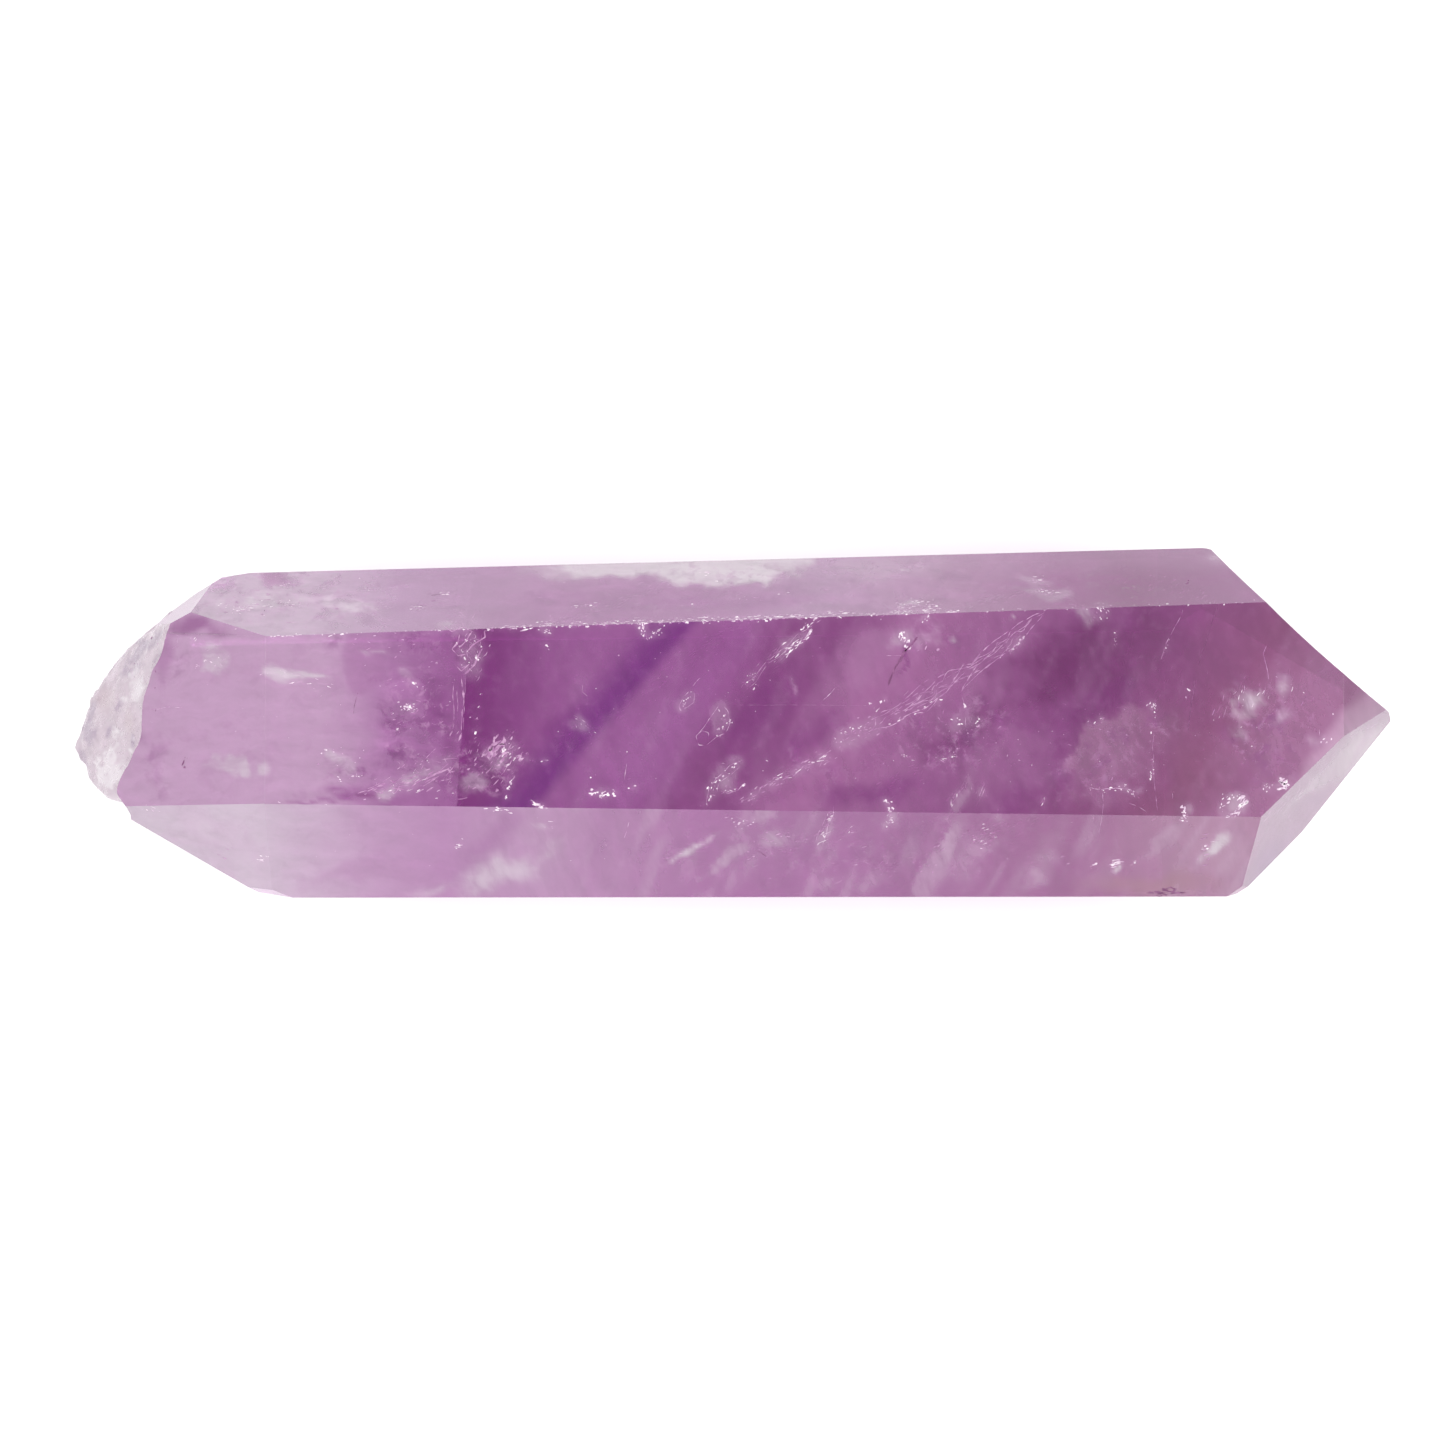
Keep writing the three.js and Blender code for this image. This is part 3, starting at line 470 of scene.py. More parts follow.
BRIGHT_FLAKES = {
    # The worn edge between the middle face and the back one
    "edge_left": Flakes(((267, 637), (330, 634), (487, 629)), 50, 0.05, CHIP),
    "edge_start": Flakes(((266, 637), (288, 636)), 14, 0.03, (0.2, 0.08, 0.06)),
    "edge_at_the_block": Flakes(((484, 628), (560, 625)), 46, 0.07, EDGE_CHIP),
    "edge_middle": Flakes(((560, 625), (700, 620)), 90, 0.08, EDGE_CHIP),
    "edge_right_middle": Flakes(((700, 620), (850, 614)), 120, 0.09, EDGE_CHIP),
    "edge_past_the_crack": Flakes(((850, 614), (960, 611)), 50, 0.06, EDGE_CHIP),
    "edge_at_the_haze": Flakes(((894, 612), (942, 609)), 34, 0.05, (0.24, 0.09, 0.06)),
    "edge_right": Flakes(((960, 611), (1258, 602)), 34, 0.06, DOT),
    # Chips by that edge
    "chips_by_the_block": Flakes(((538, 630), (551, 633)), 18, 0.1, CHIP),
    "chip_under_them": Flakes(((546, 645), (548, 648)), 5, 0.05, CHIP),
    "chip_cluster": Flakes(((641, 620), (643, 632), (650, 638)), 34, 0.1, FLAKE, 90),
    "chip_cluster_right": Flakes(((652, 634), (663, 628)), 14, 0.12, CHIP, 40),
    "chips_over_the_edge": Flakes(((536, 622), (556, 618)), 6, 0.1, CHIP),
    "crack_at_the_edge": Flakes(((803, 628), (818, 615)), 16, 0.12, FLAKE, 45),
    # The white crack under the edge
    "crack_heart": Flakes(((800, 643), (806, 636), (811, 630)), 20, 0.09, (0.42, 0.12, 0.08), 42),
    "crack_middle": Flakes(((786, 650), (800, 642)), 26, 0.12, SLIVER, 40),
    "crack_fibres": Flakes(((760, 668), (796, 640)), 34, 0.22, (0.4, 0.04, 0.04), 38),
    "crack_foot": Flakes(((744, 684), (757, 672)), 16, 0.2, CHIP, 40),
    # The left part
    "left_streak": Flakes(((262, 671), (290, 677), (336, 685)), 26, 0.22, (0.5, 0.07, 0.05), -6, 0.15),
    "netted_haze": Flakes(((206, 662), (221, 663)), 10, 0.12, CHIP),
    "fibres_at_the_rim": Flakes(((152, 705), (146, 735)), 14, 0.25, (0.45, 0.04, 0.03), -4, 0.1),
    "fibres_by_the_wedge": Flakes(((180, 636), (215, 640)), 16, 0.3, (0.3, 0.04, 0.03), 50, 0.1),
    "bits_by_the_wedge": Flakes(((194, 664), (200, 665)), 6, 0.06, CHIP),
    "dot_by_the_wedge": Flakes(((235, 629), (237, 629)), 3, 0.02, CHIP),
    "bright_cluster": Flakes(((399, 707), (415, 708)), 26, 0.16, FLAKE, 10),
    "over_the_cluster": Flakes(((411, 680), (418, 687)), 8, 0.08, CHIP, -50),
    "under_the_cluster": Flakes(((397, 731), (400, 728)), 5, 0.04, CHIP, 50),
    "string_of_flakes": Flakes(((337, 779), (347, 781), (352, 777), (362, 776)), 12, 0.06, CHIP),
    "string_over_it": Flakes(((322, 748), (340, 754)), 10, 0.14, CHIP),
    "turmoil_lines": Flakes(((384, 788), (410, 786), (426, 776), (440, 768)), 22, 0.2, (0.4, 0.06, 0.05), 30),
    "turmoil_low": Flakes(((395, 792), (450, 794)), 12, 0.2, (0.25, 0.06, 0.05), 10),
    "clump": Flakes(((500, 744), (505, 755), (515, 750)), 16, 0.25, FLAKE, 50),
    "string_of_dots": Flakes(((514, 778), (509, 786), (506, 798)), 16, 0.05, CHIP),
    "dark_pocket_bits": Flakes(((457, 640), (470, 668), (480, 646)), 26, 0.25, CHIP),
    "dark_pocket_flake": Flakes(((475, 656), (478, 659)), 4, 0.03, (0.26, 0.16, 0.1)),
    "dots_in_the_block": Flakes(((484, 694), (473, 738)), 5, 0.08, CHIP),
    # The middle
    "lens_by_the_lower_edge": Flakes(((531, 803), (544, 808)), 18, 0.06, (0.36, 0.13, 0.08), -28),
    "lens_left_of_it": Flakes(((488, 809), (508, 811)), 12, 0.1, FLAKE, -5),
    "short_bar": Flakes(((540, 761.5), (548, 760)), 7, 0.02, (0.22, 0.08, 0.06), 8),
    "bar_left_of_it": Flakes(((531, 760), (536, 762)), 4, 0.04, CHIP, -30),
    "band_wisps": Flakes(((571, 717), (582, 722), (592, 735)), 14, 0.16, (0.2, 0.05, 0.05), -40),
    "bright_cluster_low": Flakes(((592, 792), (604, 796), (616, 792)), 34, 0.1, FLAKE, 5),
    "bit_right_of_it": Flakes(((625, 787), (636, 787)), 8, 0.05, CHIP, 5),
    "dots_in_the_middle": Flakes(((629, 688), (656, 704), (656, 778), (580, 778)), 8, 0.1, DOT),
    "egg_bits": Flakes(((722, 708), (727, 722), (716, 732)), 22, 0.15, CHIP),
    "left_egg_bits": Flakes(((683, 706), (687, 696), (694, 690)), 14, 0.07, CHIP),
    "low_pocket_bits": Flakes(((740, 762), (722, 774), (711, 790), (707, 806)), 34, 0.1, CHIP),
    "low_pocket_heart": Flakes(((722, 792), (734, 790), (744, 784)), 16, 0.05, (0.26, 0.09, 0.06)),
    "warm_dot": Flakes(((766, 759), (768, 761)), 4, 0.03, CHIP),
    # The low chain of flakes, and the veil that it leads to
    "chain_low": Flakes(((736, 803), (750, 797), (757, 784), (768, 786)), 8, 0.07, CHIP),
    "chain_middle": Flakes(((768, 786), (784, 776), (803, 767)), 12, 0.12, SLIVER, 30),
    "chain_high": Flakes(((803, 767), (815, 761), (827, 757)), 9, 0.08, SLIVER, 28),
    "net_cluster": Flakes(((834, 742), (850, 732), (866, 728)), 22, 0.25, CHIP, 25),
    "veil_beads": Flakes(((893, 724), (907, 716), (922, 709), (944, 697)), 14, 0.06, CHIP, 30),
    "veil_beads_high": Flakes(((1000, 658), (1016, 647), (1024, 637)), 18, 0.05, CHIP, 35),
    "crack_end": Flakes(((869, 703), (876, 711), (884, 704), (888, 691)), 14, 0.12, CHIP),
    "cloud_heart": Flakes(((900, 634), (908, 642), (909, 650)), 22, 0.12, FLAKE, 60),
    "cloud_bits": Flakes(((918, 622), (930, 616)), 10, 0.12, CHIP, 60),
    "flake_past_the_veil": Flakes(((964, 704), (965, 708)), 6, 0.03, (0.18, 0.12, 0.08), 90),
    "bits_past_the_veil": Flakes(((952, 720), (966, 724), (982, 722)), 20, 0.16, CHIP),
    "bits_lower": Flakes(((936, 757), (958, 759)), 16, 0.1, CHIP, 20),
    "bit_curve": Flakes(((900, 744), (904, 756), (913, 760)), 10, 0.05, CHIP),
    "curtain_top": Flakes(((966, 785), (958, 794), (952, 806)), 26, 0.1, (0.4, 0.05, 0.04), 65),
    "curtain_left": Flakes(((884, 800), (892, 812), (890, 824)), 34, 0.14, FLAKE, 70),
    # The right part
    "haze_at_the_edge": Flakes(((1098, 605), (1105, 618)), 24, 0.2, CHIP),
    "bright_dot_right": Flakes(((1114, 633), (1117, 632)), 5, 0.03, CHIP),
    "dots_under_it": Flakes(((1115, 626), (1116, 651)), 6, 0.06, DOT),
    "crack_beads": Flakes(((1171, 634), (1164, 652), (1161, 660)), 9, 0.03, CHIP, 70),
    "dot_on_the_long_crack": Flakes(((1188, 689), (1190, 691)), 3, 0.02, CHIP),
    "net_right": Flakes(((1147, 710), (1154, 702), (1155, 716)), 16, 0.1, CHIP),
    "string_right": Flakes(((1151, 730), (1153, 764), (1151, 780)), 16, 0.06, CHIP, 90),
    "wedge_edge_bits": Flakes(((1095, 724), (1102, 718)), 8, 0.06, CHIP),
    "tip_cloud_fibres": Flakes(((1226, 706), (1262, 694)), 46, 0.42, (0.42, 0.045, 0.04), 68, 0.1),
    "far_tip_fibres": Flakes(((1276, 690), (1292, 684)), 20, 0.3, FIBRE, 65, 0.15),
    "tip_dot": Flakes(((1333, 714), (1335, 714)), 4, 0.02, CHIP),
    "tip_haze": Flakes(((1298, 745), (1314, 742), (1336, 739)), 22, 0.16, CHIP, 60, 0.1),
    "tip_flake": Flakes(((1278, 778), (1287, 784), (1282, 787)), 24, 0.09, (0.3, 0.18, 0.1), 30),
    "tip_flake_left": Flakes(((1262, 787), (1270, 788)), 14, 0.1, CHIP, 60),
    "bright_pocket": Flakes(((1228, 815), (1236, 812), (1247, 800), (1240, 797)), 44, 0.08, (0.34, 0.14, 0.08), 45),
    "bright_pocket_left": Flakes(((1220, 810), (1226, 798), (1238, 796)), 26, 0.12, CHIP, 50),
    "low_flake": Flakes(((1184, 807), (1186, 818)), 16, 0.08, FLAKE, 90),
    "low_flake_at_the_edge": Flakes(((1179, 819), (1188, 821)), 12, 0.05, CHIP),
    "low_curve_bits": Flakes(((1088, 786), (1110, 790), (1126, 787), (1136, 798)), 36, 0.09, CHIP),
    "low_sliver": Flakes(((1045, 795), (1041, 806)), 7, 0.04, SLIVER, 70),
    # The back band
    "back_left_big": Flakes(((240, 610), (256, 608)), 12, 0.06, (0.34, 0.12, 0.08), 4),
    "back_left_bits": Flakes(((222, 602), (236, 613), (252, 601)), 30, 0.18, FLAKE, 5),
    "back_left_right": Flakes(((262, 608), (282, 604), (300, 602)), 26, 0.16, FLAKE, 20),
    "back_left_top": Flakes(((282, 587), (290, 584)), 7, 0.07, FLAKE, 5),
    "back_dots": Flakes(((360, 576), (367, 593)), 5, 0.08, (0.18, 0.12, 0.08)),
    "back_flake": Flakes(((440, 594), (452, 593)), 8, 0.04, FLAKE, 5),
    "back_pair": Flakes(((408, 606), (428, 609)), 12, 0.08, FLAKE, -8),
    "back_middle_bits": Flakes(((570, 606), (582, 606), (601, 604)), 16, 0.05, (0.2, 0.08, 0.06), 5),
    "back_small_dots": Flakes(((571, 583), (606, 617), (924, 580), (553, 619)), 9, 0.12, CHIP),
    "back_cloud_heart": Flakes(((684, 578), (704, 574), (718, 580)), 22, 0.2, (0.4, 0.16, 0.08), 8, 0.15),
    "back_haze": Flakes(((898, 608), (914, 603), (934, 603)), 40, 0.18, FLAKE, 15),
    "back_right_haze": Flakes(((1034, 590), (1058, 593)), 20, 0.12, FLAKE, -5, 0.1),
    "back_upper_haze": Flakes(((1026, 578), (1048, 581)), 12, 0.14, FLAKE, -15, 0.15),
    # The front band
    "sparkle": Flakes(((259, 860), (265, 857), (270, 859)), 12, 0.1, FLAKE),
    "front_dots": Flakes(((271, 801), (396, 808), (437, 816)), 7, 0.05, (0.14, 0.1, 0.08)),
    "front_flake": Flakes(((453, 848), (461, 846)), 8, 0.04, (0.26, 0.13, 0.08), 10),
    "front_flake_small": Flakes(((462, 839), (466, 838)), 4, 0.04, CHIP),
    "front_wisp": Flakes(((534, 826), (558, 828)), 12, 0.14, (0.3, 0.06, 0.05), 4, 0.1),
    "front_curtain_left": Flakes(((831, 813), (820, 845)), 26, 0.1, (0.5, 0.06, 0.05), 68),
    "front_sliver": Flakes(((853, 822), (848, 833)), 7, 0.04, SLIVER, 68),
    "front_patch": Flakes(((976, 846), (992, 834)), 34, 0.3, FLAKE, 50, 0.1),
    "front_bright_right": Flakes(((1112, 864), (1121, 861)), 14, 0.09, (0.36, 0.16, 0.08), 35),
    "front_bits_beside_it": Flakes(((1091, 868), (1096, 863)), 6, 0.06, FLAKE, 45),
    "front_bits_right": Flakes(((1131, 864), (1136, 860)), 6, 0.06, FLAKE, 40),
    "front_far_right": Flakes(((1204, 850), (1210, 843)), 12, 0.1, FLAKE, 40),
    "left_corner_wisps": Flakes(((142, 806), (160, 812)), 12, 0.08, (0.34, 0.06, 0.05), -12),
    "front_fan": Flakes(((730, 818), (740, 826), (760, 820)), 18, 0.14, CHIP, 30),
    "strewn_left": Flakes(((170, 700), (300, 690), (330, 760)), 40, 1.8, SPARK, None, 0.1),
    "strewn_in_the_turmoil": Flakes(((360, 690), (440, 720), (400, 780)), 80, 1.3, SPARK, None, 0.1),
    "strewn_in_the_middle": Flakes(((540, 720), (700, 700), (860, 680)), 60, 2.2, SPARK, None, 0.1),
    "strewn_past_the_veil": Flakes(((900, 770), (1040, 730), (1160, 700)), 70, 1.8, SPARK, None, 0.1),
    "strewn_at_the_tip": Flakes(((1180, 760), (1260, 720), (1320, 730)), 60, 1.4, SPARK, None, 0.1),
    "strewn_on_the_back": Flakes(((240, 600), (600, 595), (1100, 580)), 60, 0.7, SPARK, None, 0.1),
    "strewn_on_the_front": Flakes(((250, 860), (700, 850), (1180, 850)), 80, 1.2, SPARK, None, 0.1),
}

ROSY_FLAKES = {
    "clump": Flakes(((488, 770), (500, 748), (518, 752)), 60, 0.5, (0.34, 0.12, 0.08), 50),
    "clump_plates": Flakes(((486, 752), (500, 746), (504, 762)), 10, 0.15, (0.8, 0.36, 0.08), 52, 0.0),
    "clump_strokes": Flakes(((480, 790), (500, 776), (520, 770)), 26, 0.35, (0.5, 0.07, 0.06), 48),
    "turmoil_strokes": Flakes(((366, 791), (398, 782), (430, 776), (450, 768)), 60, 0.2, (0.7, 0.07, 0.06), 28),
    "turmoil": Flakes(((372, 786), (412, 780), (448, 768)), 90, 0.55, (0.4, 0.08, 0.06), 35, 0.1),
    "turmoil_upper": Flakes(((385, 640), (440, 700), (400, 740)), 60, 0.8, (0.3, 0.08, 0.06), 20, 0.1),
    "block_boundary": Flakes(((452, 740), (470, 745), (462, 790)), 40, 0.5, (0.3, 0.08, 0.06), 60, 0.1),
    "chain": Flakes(((745, 802), (784, 778), (830, 756)), 110, 0.22, (0.3, 0.06, 0.05), 30),
    "net_cluster": Flakes(((836, 745), (856, 734), (878, 724)), 70, 0.4, (0.22, 0.07, 0.05), 28),
    "veil_low": Flakes(((878, 728), (912, 706), (940, 690)), 70, 0.28, (0.4, 0.05, 0.04), 33),
    "veil_high": Flakes(((940, 690), (985, 660), (1030, 628)), 70, 0.24, (0.4, 0.04, 0.04), 37),
    "cloud": Flakes(((898, 640), (915, 640), (932, 648)), 46, 0.4, (0.3, 0.12, 0.08), 50, 0.15),
    "curtain_on_the_band": Flakes(((962, 790), (948, 822), (936, 860), (924, 892)), 120, 0.26, FIBRE, 72, 0.15),
    "curtain_beside_it": Flakes(((984, 784), (976, 806)), 16, 0.1, FIBRE, 70, 0.1),
    "bits_lower": Flakes(((930, 725), (960, 745), (990, 735)), 40, 0.5, CHIP),
    "tip_cloud": Flakes(((1222, 704), (1266, 696)), 60, 0.55, (0.5, 0.05, 0.04), 68, 0.2),
    "tip_cloud_far": Flakes(((1272, 705), (1300, 685)), 46, 0.5, (0.5, 0.05, 0.04), 66, 0.25),
    "front_streaks": Flakes(((664, 858), (690, 848), (718, 838)), 40, 0.2, (0.5, 0.05, 0.04), 25, 0.15),
    "front_streaks_low": Flakes(((690, 868), (740, 858), (770, 852)), 40, 0.35, (0.45, 0.05, 0.04), 30, 0.2),
    "front_net": Flakes(((756, 848), (780, 838), (796, 842)), 50, 0.45, FLAKE, 20, 0.1),
    "front_fan": Flakes(((840, 840), (870, 850), (890, 872)), 26, 0.5, SLIVER, 60, 0.2),
    "front_right_haze": Flakes(((1196, 868), (1214, 838)), 50, 0.4, (0.4, 0.08, 0.06), 45, 0.2),
    "front_middle_right": Flakes(((1010, 850), (1060, 860), (1090, 840)), 30, 0.7, SLIVER, 60, 0.2),
    "back_left": Flakes(((225, 604), (262, 600), (310, 606)), 80, 0.55, (0.34, 0.08, 0.06), 8, 0.1),
    "back_right": Flakes(((1020, 585), (1080, 600)), 36, 0.45, SLIVER, -8, 0.15),
    "back_middle": Flakes(((420, 600), (470, 612)), 30, 0.35, SLIVER, -15, 0.1),
    "front_left": Flakes(((180, 836), (240, 856)), 26, 0.5, (0.34, 0.07, 0.06), -20, 0.15),
    "scattered_middle": Flakes(((560, 700), (700, 660), (860, 660)), 40, 1.6, DOT, None, 0.1),
    "scattered_right": Flakes(((1000, 740), (1120, 760), (1240, 740)), 50, 1.6, DOT, None, 0.1),
}

PALE_FLAKES = {
    "left_of_the_block": Flakes(((350, 690), (430, 660), (400, 780)), 150, 1.3, (0.16, 0.05, 0.04), 25, 0.1),
    "turmoil": Flakes(((350, 790), (400, 782), (450, 770)), 110, 0.5, (0.3, 0.07, 0.05), 28, 0.1),
    "left_haze": Flakes(((330, 745), (350, 775)), 50, 0.7, (0.14, 0.06, 0.04), 10, 0.1),
    "at_the_break": Flakes(((160, 650), (215, 660)), 60, 0.7, (0.14, 0.05, 0.04), 20, 0.1),
    "by_the_boundary": Flakes(((350, 640), (440, 630)), 60, 0.6, (0.3, 0.05, 0.04), -12, 0.1),
    "clump": Flakes(((484, 765), (505, 748), (520, 750)), 40, 0.4, (0.3, 0.1, 0.06), 48, 0.1),
    "low_middle": Flakes(((900, 750), (960, 740), (1010, 760)), 70, 0.9, (0.14, 0.05, 0.04), 60, 0.1),
    "wedge": Flakes(((1080, 745), (1120, 740), (1130, 790)), 60, 0.8, (0.14, 0.04, 0.04), 60, 0.1),
    "tip": Flakes(((1230, 700), (1290, 700), (1320, 745)), 60, 0.7, (0.3, 0.04, 0.04), 66, 0.15),
    "back_left": Flakes(((230, 600), (300, 595), (340, 610)), 60, 0.6, (0.3, 0.06, 0.04), 5, 0.1),
    "back": Flakes(((420, 600), (700, 600), (1060, 590)), 70, 0.5, (0.3, 0.04, 0.04), 4, 0.1),
    "front": Flakes(((660, 850), (860, 850), (1080, 860)), 110, 0.9, (0.26, 0.04, 0.04), 50, 0.15),
}

DARK_FLAKES = {
    "specks_left": Flakes(((183, 765), (184, 763)), 5, 0.05, (0.24, 0.18, 0.1)),
    "specks_left_high": Flakes(((186, 759), (186.5, 758)), 3, 0.03, (0.14, 0.1, 0.08)),
    "speck_middle": Flakes(((220, 715.5), (220, 716.5)), 2, 0.02, (0.16, 0.14, 0.08)),
    # Dark flakes along the low right outline of the front band
    "dark_along_the_low_right_outline": Flakes(((1150, 893), (1187, 890)), 26, 0.1, (0.46, 0.2, 0.1)),
    "specks_on_the_back": Flakes(((1189, 582), (1187, 589)), 5, 0.07, (0.2, 0.16, 0.08)),
    "speck_on_the_band": Flakes(((968, 830), (969, 831)), 2, 0.02, (0.16, 0.12, 0.08)),
    "line_by_the_flake": Flakes(((424, 595), (440, 594)), 6, 0.03, (0.4, 0.05, 0.04), 5),
    "bits_by_the_break": Flakes(((158, 660), (150, 720)), 8, 0.3, (0.14, 0.08, 0.06)),
}

PALE_THREADS = {
    "sliver_right_of_the_crack": Thread(((820, 703), (828, 696), (837, 686)), 0.03, 0.02),
    "sliver_beside_it": Thread(((825, 701), (830, 693)), 0.02, 0.03),
    "rim_line": Thread(((146, 710), (165, 708), (188, 707)), 0.02, 0.05),
    "rim_line_low": Thread(((144, 720), (156, 724)), 0.02, 0.03),
    "wedge_loop": Thread(((168, 629), (178, 636), (177, 645), (169, 650)), 0.02, 0.05),
    "pocket_curve": Thread(((719, 790), (728, 793), (738, 790), (745, 782)), 0.035, 0.03),
    "egg_outline": Thread(
        ((722, 704), (728, 711), (730, 722), (726, 733), (715, 738), (706, 745), (698, 745), (696, 736),
         (704, 728), (712, 716), (718, 706), (722, 704)), 0.022, 0.04),
    "egg_inner": Thread(((696, 736), (702, 731), (709, 733), (708, 742)), 0.02, 0.03),
    "left_egg_outline": Thread(
        ((690, 690), (695, 694), (694, 702), (688, 707), (681, 711), (679, 706), (684, 697), (690, 690)),
        0.022, 0.03),
    "chain_over_the_left_egg": Thread(((692, 688), (698, 681), (704, 674)), 0.018, 0.04),
    "low_pocket_outline": Thread(
        ((744, 759), (730, 766), (716, 778), (709, 790), (706, 808)), 0.02, 0.08),
    "low_pocket_inner": Thread(((744, 764), (730, 774), (720, 784), (716, 796)), 0.018, 0.08),
    "bubble_dots": Thread(((699, 748), (699, 758)), 0.016, 0.03),
    "small_line": Thread(((627, 760), (624, 783)), 0.018, 0.04),
    "band_line": Thread(((583, 680), (583, 692), (590, 699)), 0.016, 0.04),
    "band_line_right": Thread(((571, 714), (580, 719), (586, 723)), 0.02, 0.04),
    "front_line": Thread(((629, 820), (627, 830), (624, 840)), 0.02, 0.03),
    "front_curtain_edge": Thread(((834, 811), (828, 826), (822, 848)), 0.03, 0.05),
    "front_curtain_second": Thread(((826, 814), (820, 830), (814, 846)), 0.02, 0.05),
    "front_wisp_right": Thread(((851, 860), (868, 864), (887, 873)), 0.025, 0.06, 0.1),
    "curve_below_right": Thread(((1087, 787), (1102, 790), (1116, 787), (1130, 790), (1137, 800)), 0.025, 0.06),
    "curve_past_it": Thread(((1126, 801), (1138, 807), (1149, 813)), 0.014, 0.04),
    "line_down_right": Thread(((1103, 789), (1103, 806), (1102, 818), (1098, 836)), 0.016, 0.04),
    "thread_past_the_veil": Thread(((961, 693), (965, 706), (969, 711)), 0.016, 0.03),
    "thread_under_it": Thread(((966, 712), (966, 730)), 0.014, 0.03),
    "boundary_curve": Thread(((423, 606), (440, 604), (458, 611), (474, 622), (486, 627)), 0.02, 0.06, 0.05),
    "over_the_curve": Thread(((427, 597), (446, 600), (462, 606), (470, 613)), 0.015, 0.06, 0.05),
    "facet_line": Thread(((735, 816), (752, 822)), 0.014, 0.05),
    "pink_line": Thread(((1171, 789), (1173, 796), (1169, 805)), 0.018, 0.04),
}

ROSY_THREADS = {
    "net_edge": Thread(((484, 627), (486, 637), (479, 641), (470, 647), (464, 654)), 0.075, 0.05, 0.0, 0.8),
    "net_middle": Thread(((475, 629), (468, 638), (463, 645), (457, 652)), 0.06, 0.05, 0.0, 0.8),
    "net_left": Thread(((460, 631), (458, 643), (453, 650), (457, 656), (468, 653)), 0.06, 0.05, 0.0, 0.8),
    "net_right": Thread(((483, 646), (478, 655), (474, 665), (467, 672), (461, 675)), 0.08, 0.05, 0.0, 0.8),
    "net_foot": Thread(((455, 663), (461, 671), (466, 667), (473, 661)), 0.06, 0.05, 0.0, 0.8),
    "net_over_it": Thread(((440, 622), (452, 631), (464, 627), (476, 633)), 0.05, 0.06, 0.0, 0.8),
    "block_line": Thread(((461, 675), (463, 690), (464, 702), (462, 720), (461, 734), (456, 745)), 0.05, 0.04),
    "block_line_inside": Thread(((453, 683), (454, 717), (452, 733)), 0.03, 0.05),
    "block_line_between": Thread(((457, 686), (458, 704), (458, 719)), 0.025, 0.05),
    "turmoil_stroke": Thread(((411, 788), (422, 781), (437, 772), (449, 768), (452, 775)), 0.08, 0.08),
    "turmoil_stroke_left": Thread(((364, 792), (376, 788), (390, 780), (399, 783)), 0.07, 0.08),
    "turmoil_stroke_high": Thread(((424, 761), (432, 751), (438, 746)), 0.05, 0.06),
    "turmoil_stroke_low": Thread(((452, 800), (462, 799), (470, 796)), 0.05, 0.04),
    "string_line": Thread(((1154, 729), (1152, 760), (1155, 790), (1158, 815)), 0.014, 0.08),
    "curve_at_the_tip": Thread(((1269, 641), (1264, 654), (1268, 672), (1271, 686)), 0.03, 0.04),
    "crack_right": Thread(((1184, 607), (1177, 622), (1166, 645), (1160, 662)), 0.02, 0.05),
    "veil_first": Thread(
        ((1050, 608), (1024, 620), (1002, 636), (987, 647), (976, 660), (969, 667), (949, 671), (938, 678),
         (927, 691), (913, 704), (891, 718)), 0.034, 0.07),
    "veil_second": Thread(
        ((1030, 622), (1010, 636), (994, 648), (982, 662), (966, 672), (952, 684), (938, 695), (915, 710)),
        0.03, 0.08),
    "veil_third": Thread(
        ((1044, 612), (1024, 638), (1016, 647), (1000, 658), (984, 669), (971, 681), (960, 693)), 0.032, 0.05),
    "veil_fourth": Thread(((978, 664), (968, 680), (961, 692)), 0.045, 0.03),
    "veil_fifth": Thread(((951, 689), (936, 700), (922, 709), (907, 716), (896, 723), (880, 730)), 0.04, 0.06),
    "veil_sixth": Thread(((930, 676), (915, 690), (898, 704), (876, 716)), 0.025, 0.08),
    "veil_seventh": Thread(((921, 690), (906, 702), (888, 712), (868, 722)), 0.025, 0.06),
    "veil_strand": Thread(
        ((1047, 610), (1012, 634), (985, 655), (960, 670), (935, 690), (905, 712)), 0.022, 0.22),
    "veil_strand_beside_it": Thread(
        ((1040, 618), (1008, 640), (980, 661), (955, 676), (930, 697), (896, 716)), 0.022, 0.28),
    "veil_strand_low": Thread(((1020, 640), (990, 664), (965, 678), (938, 700), (910, 716)), 0.025, 0.2),
    "veil_strand_left": Thread(((960, 668), (935, 684), (912, 702), (886, 722), (862, 732)), 0.022, 0.24),
    "veil_foot": Thread(((874, 712), (875, 724), (872, 734)), 0.02, 0.05),
    "chain": Thread(((737, 804), (760, 790), (784, 778), (812, 764), (834, 750)), 0.016, 0.12),
    "crack_side": Thread(((740, 690), (756, 672), (776, 654), (800, 634), (822, 618)), 0.018, 0.1),
    "crack_other_side": Thread(((748, 690), (768, 664), (790, 648), (808, 636)), 0.016, 0.08),
    "block_boundary": Thread(((466, 673), (465, 692), (463, 715), (462, 733)), 0.014, 0.06),
    "block_boundary_top": Thread(((482, 634), (478, 655), (470, 672)), 0.014, 0.06),
    "long_scratch": Thread(((738, 705), (800, 705), (869, 705.5)), 0.006, 0.01),
    "scratch_left": Thread(((884, 655), (904, 656)), 0.02, 0.03),
    "curve_on_the_front": Thread(((276, 851), (290, 842), (306, 838)), 0.012, 0.05, 0.05),
    "beside_the_crack": Thread(((1187, 644), (1180, 658)), 0.02, 0.03, 0.05),
}

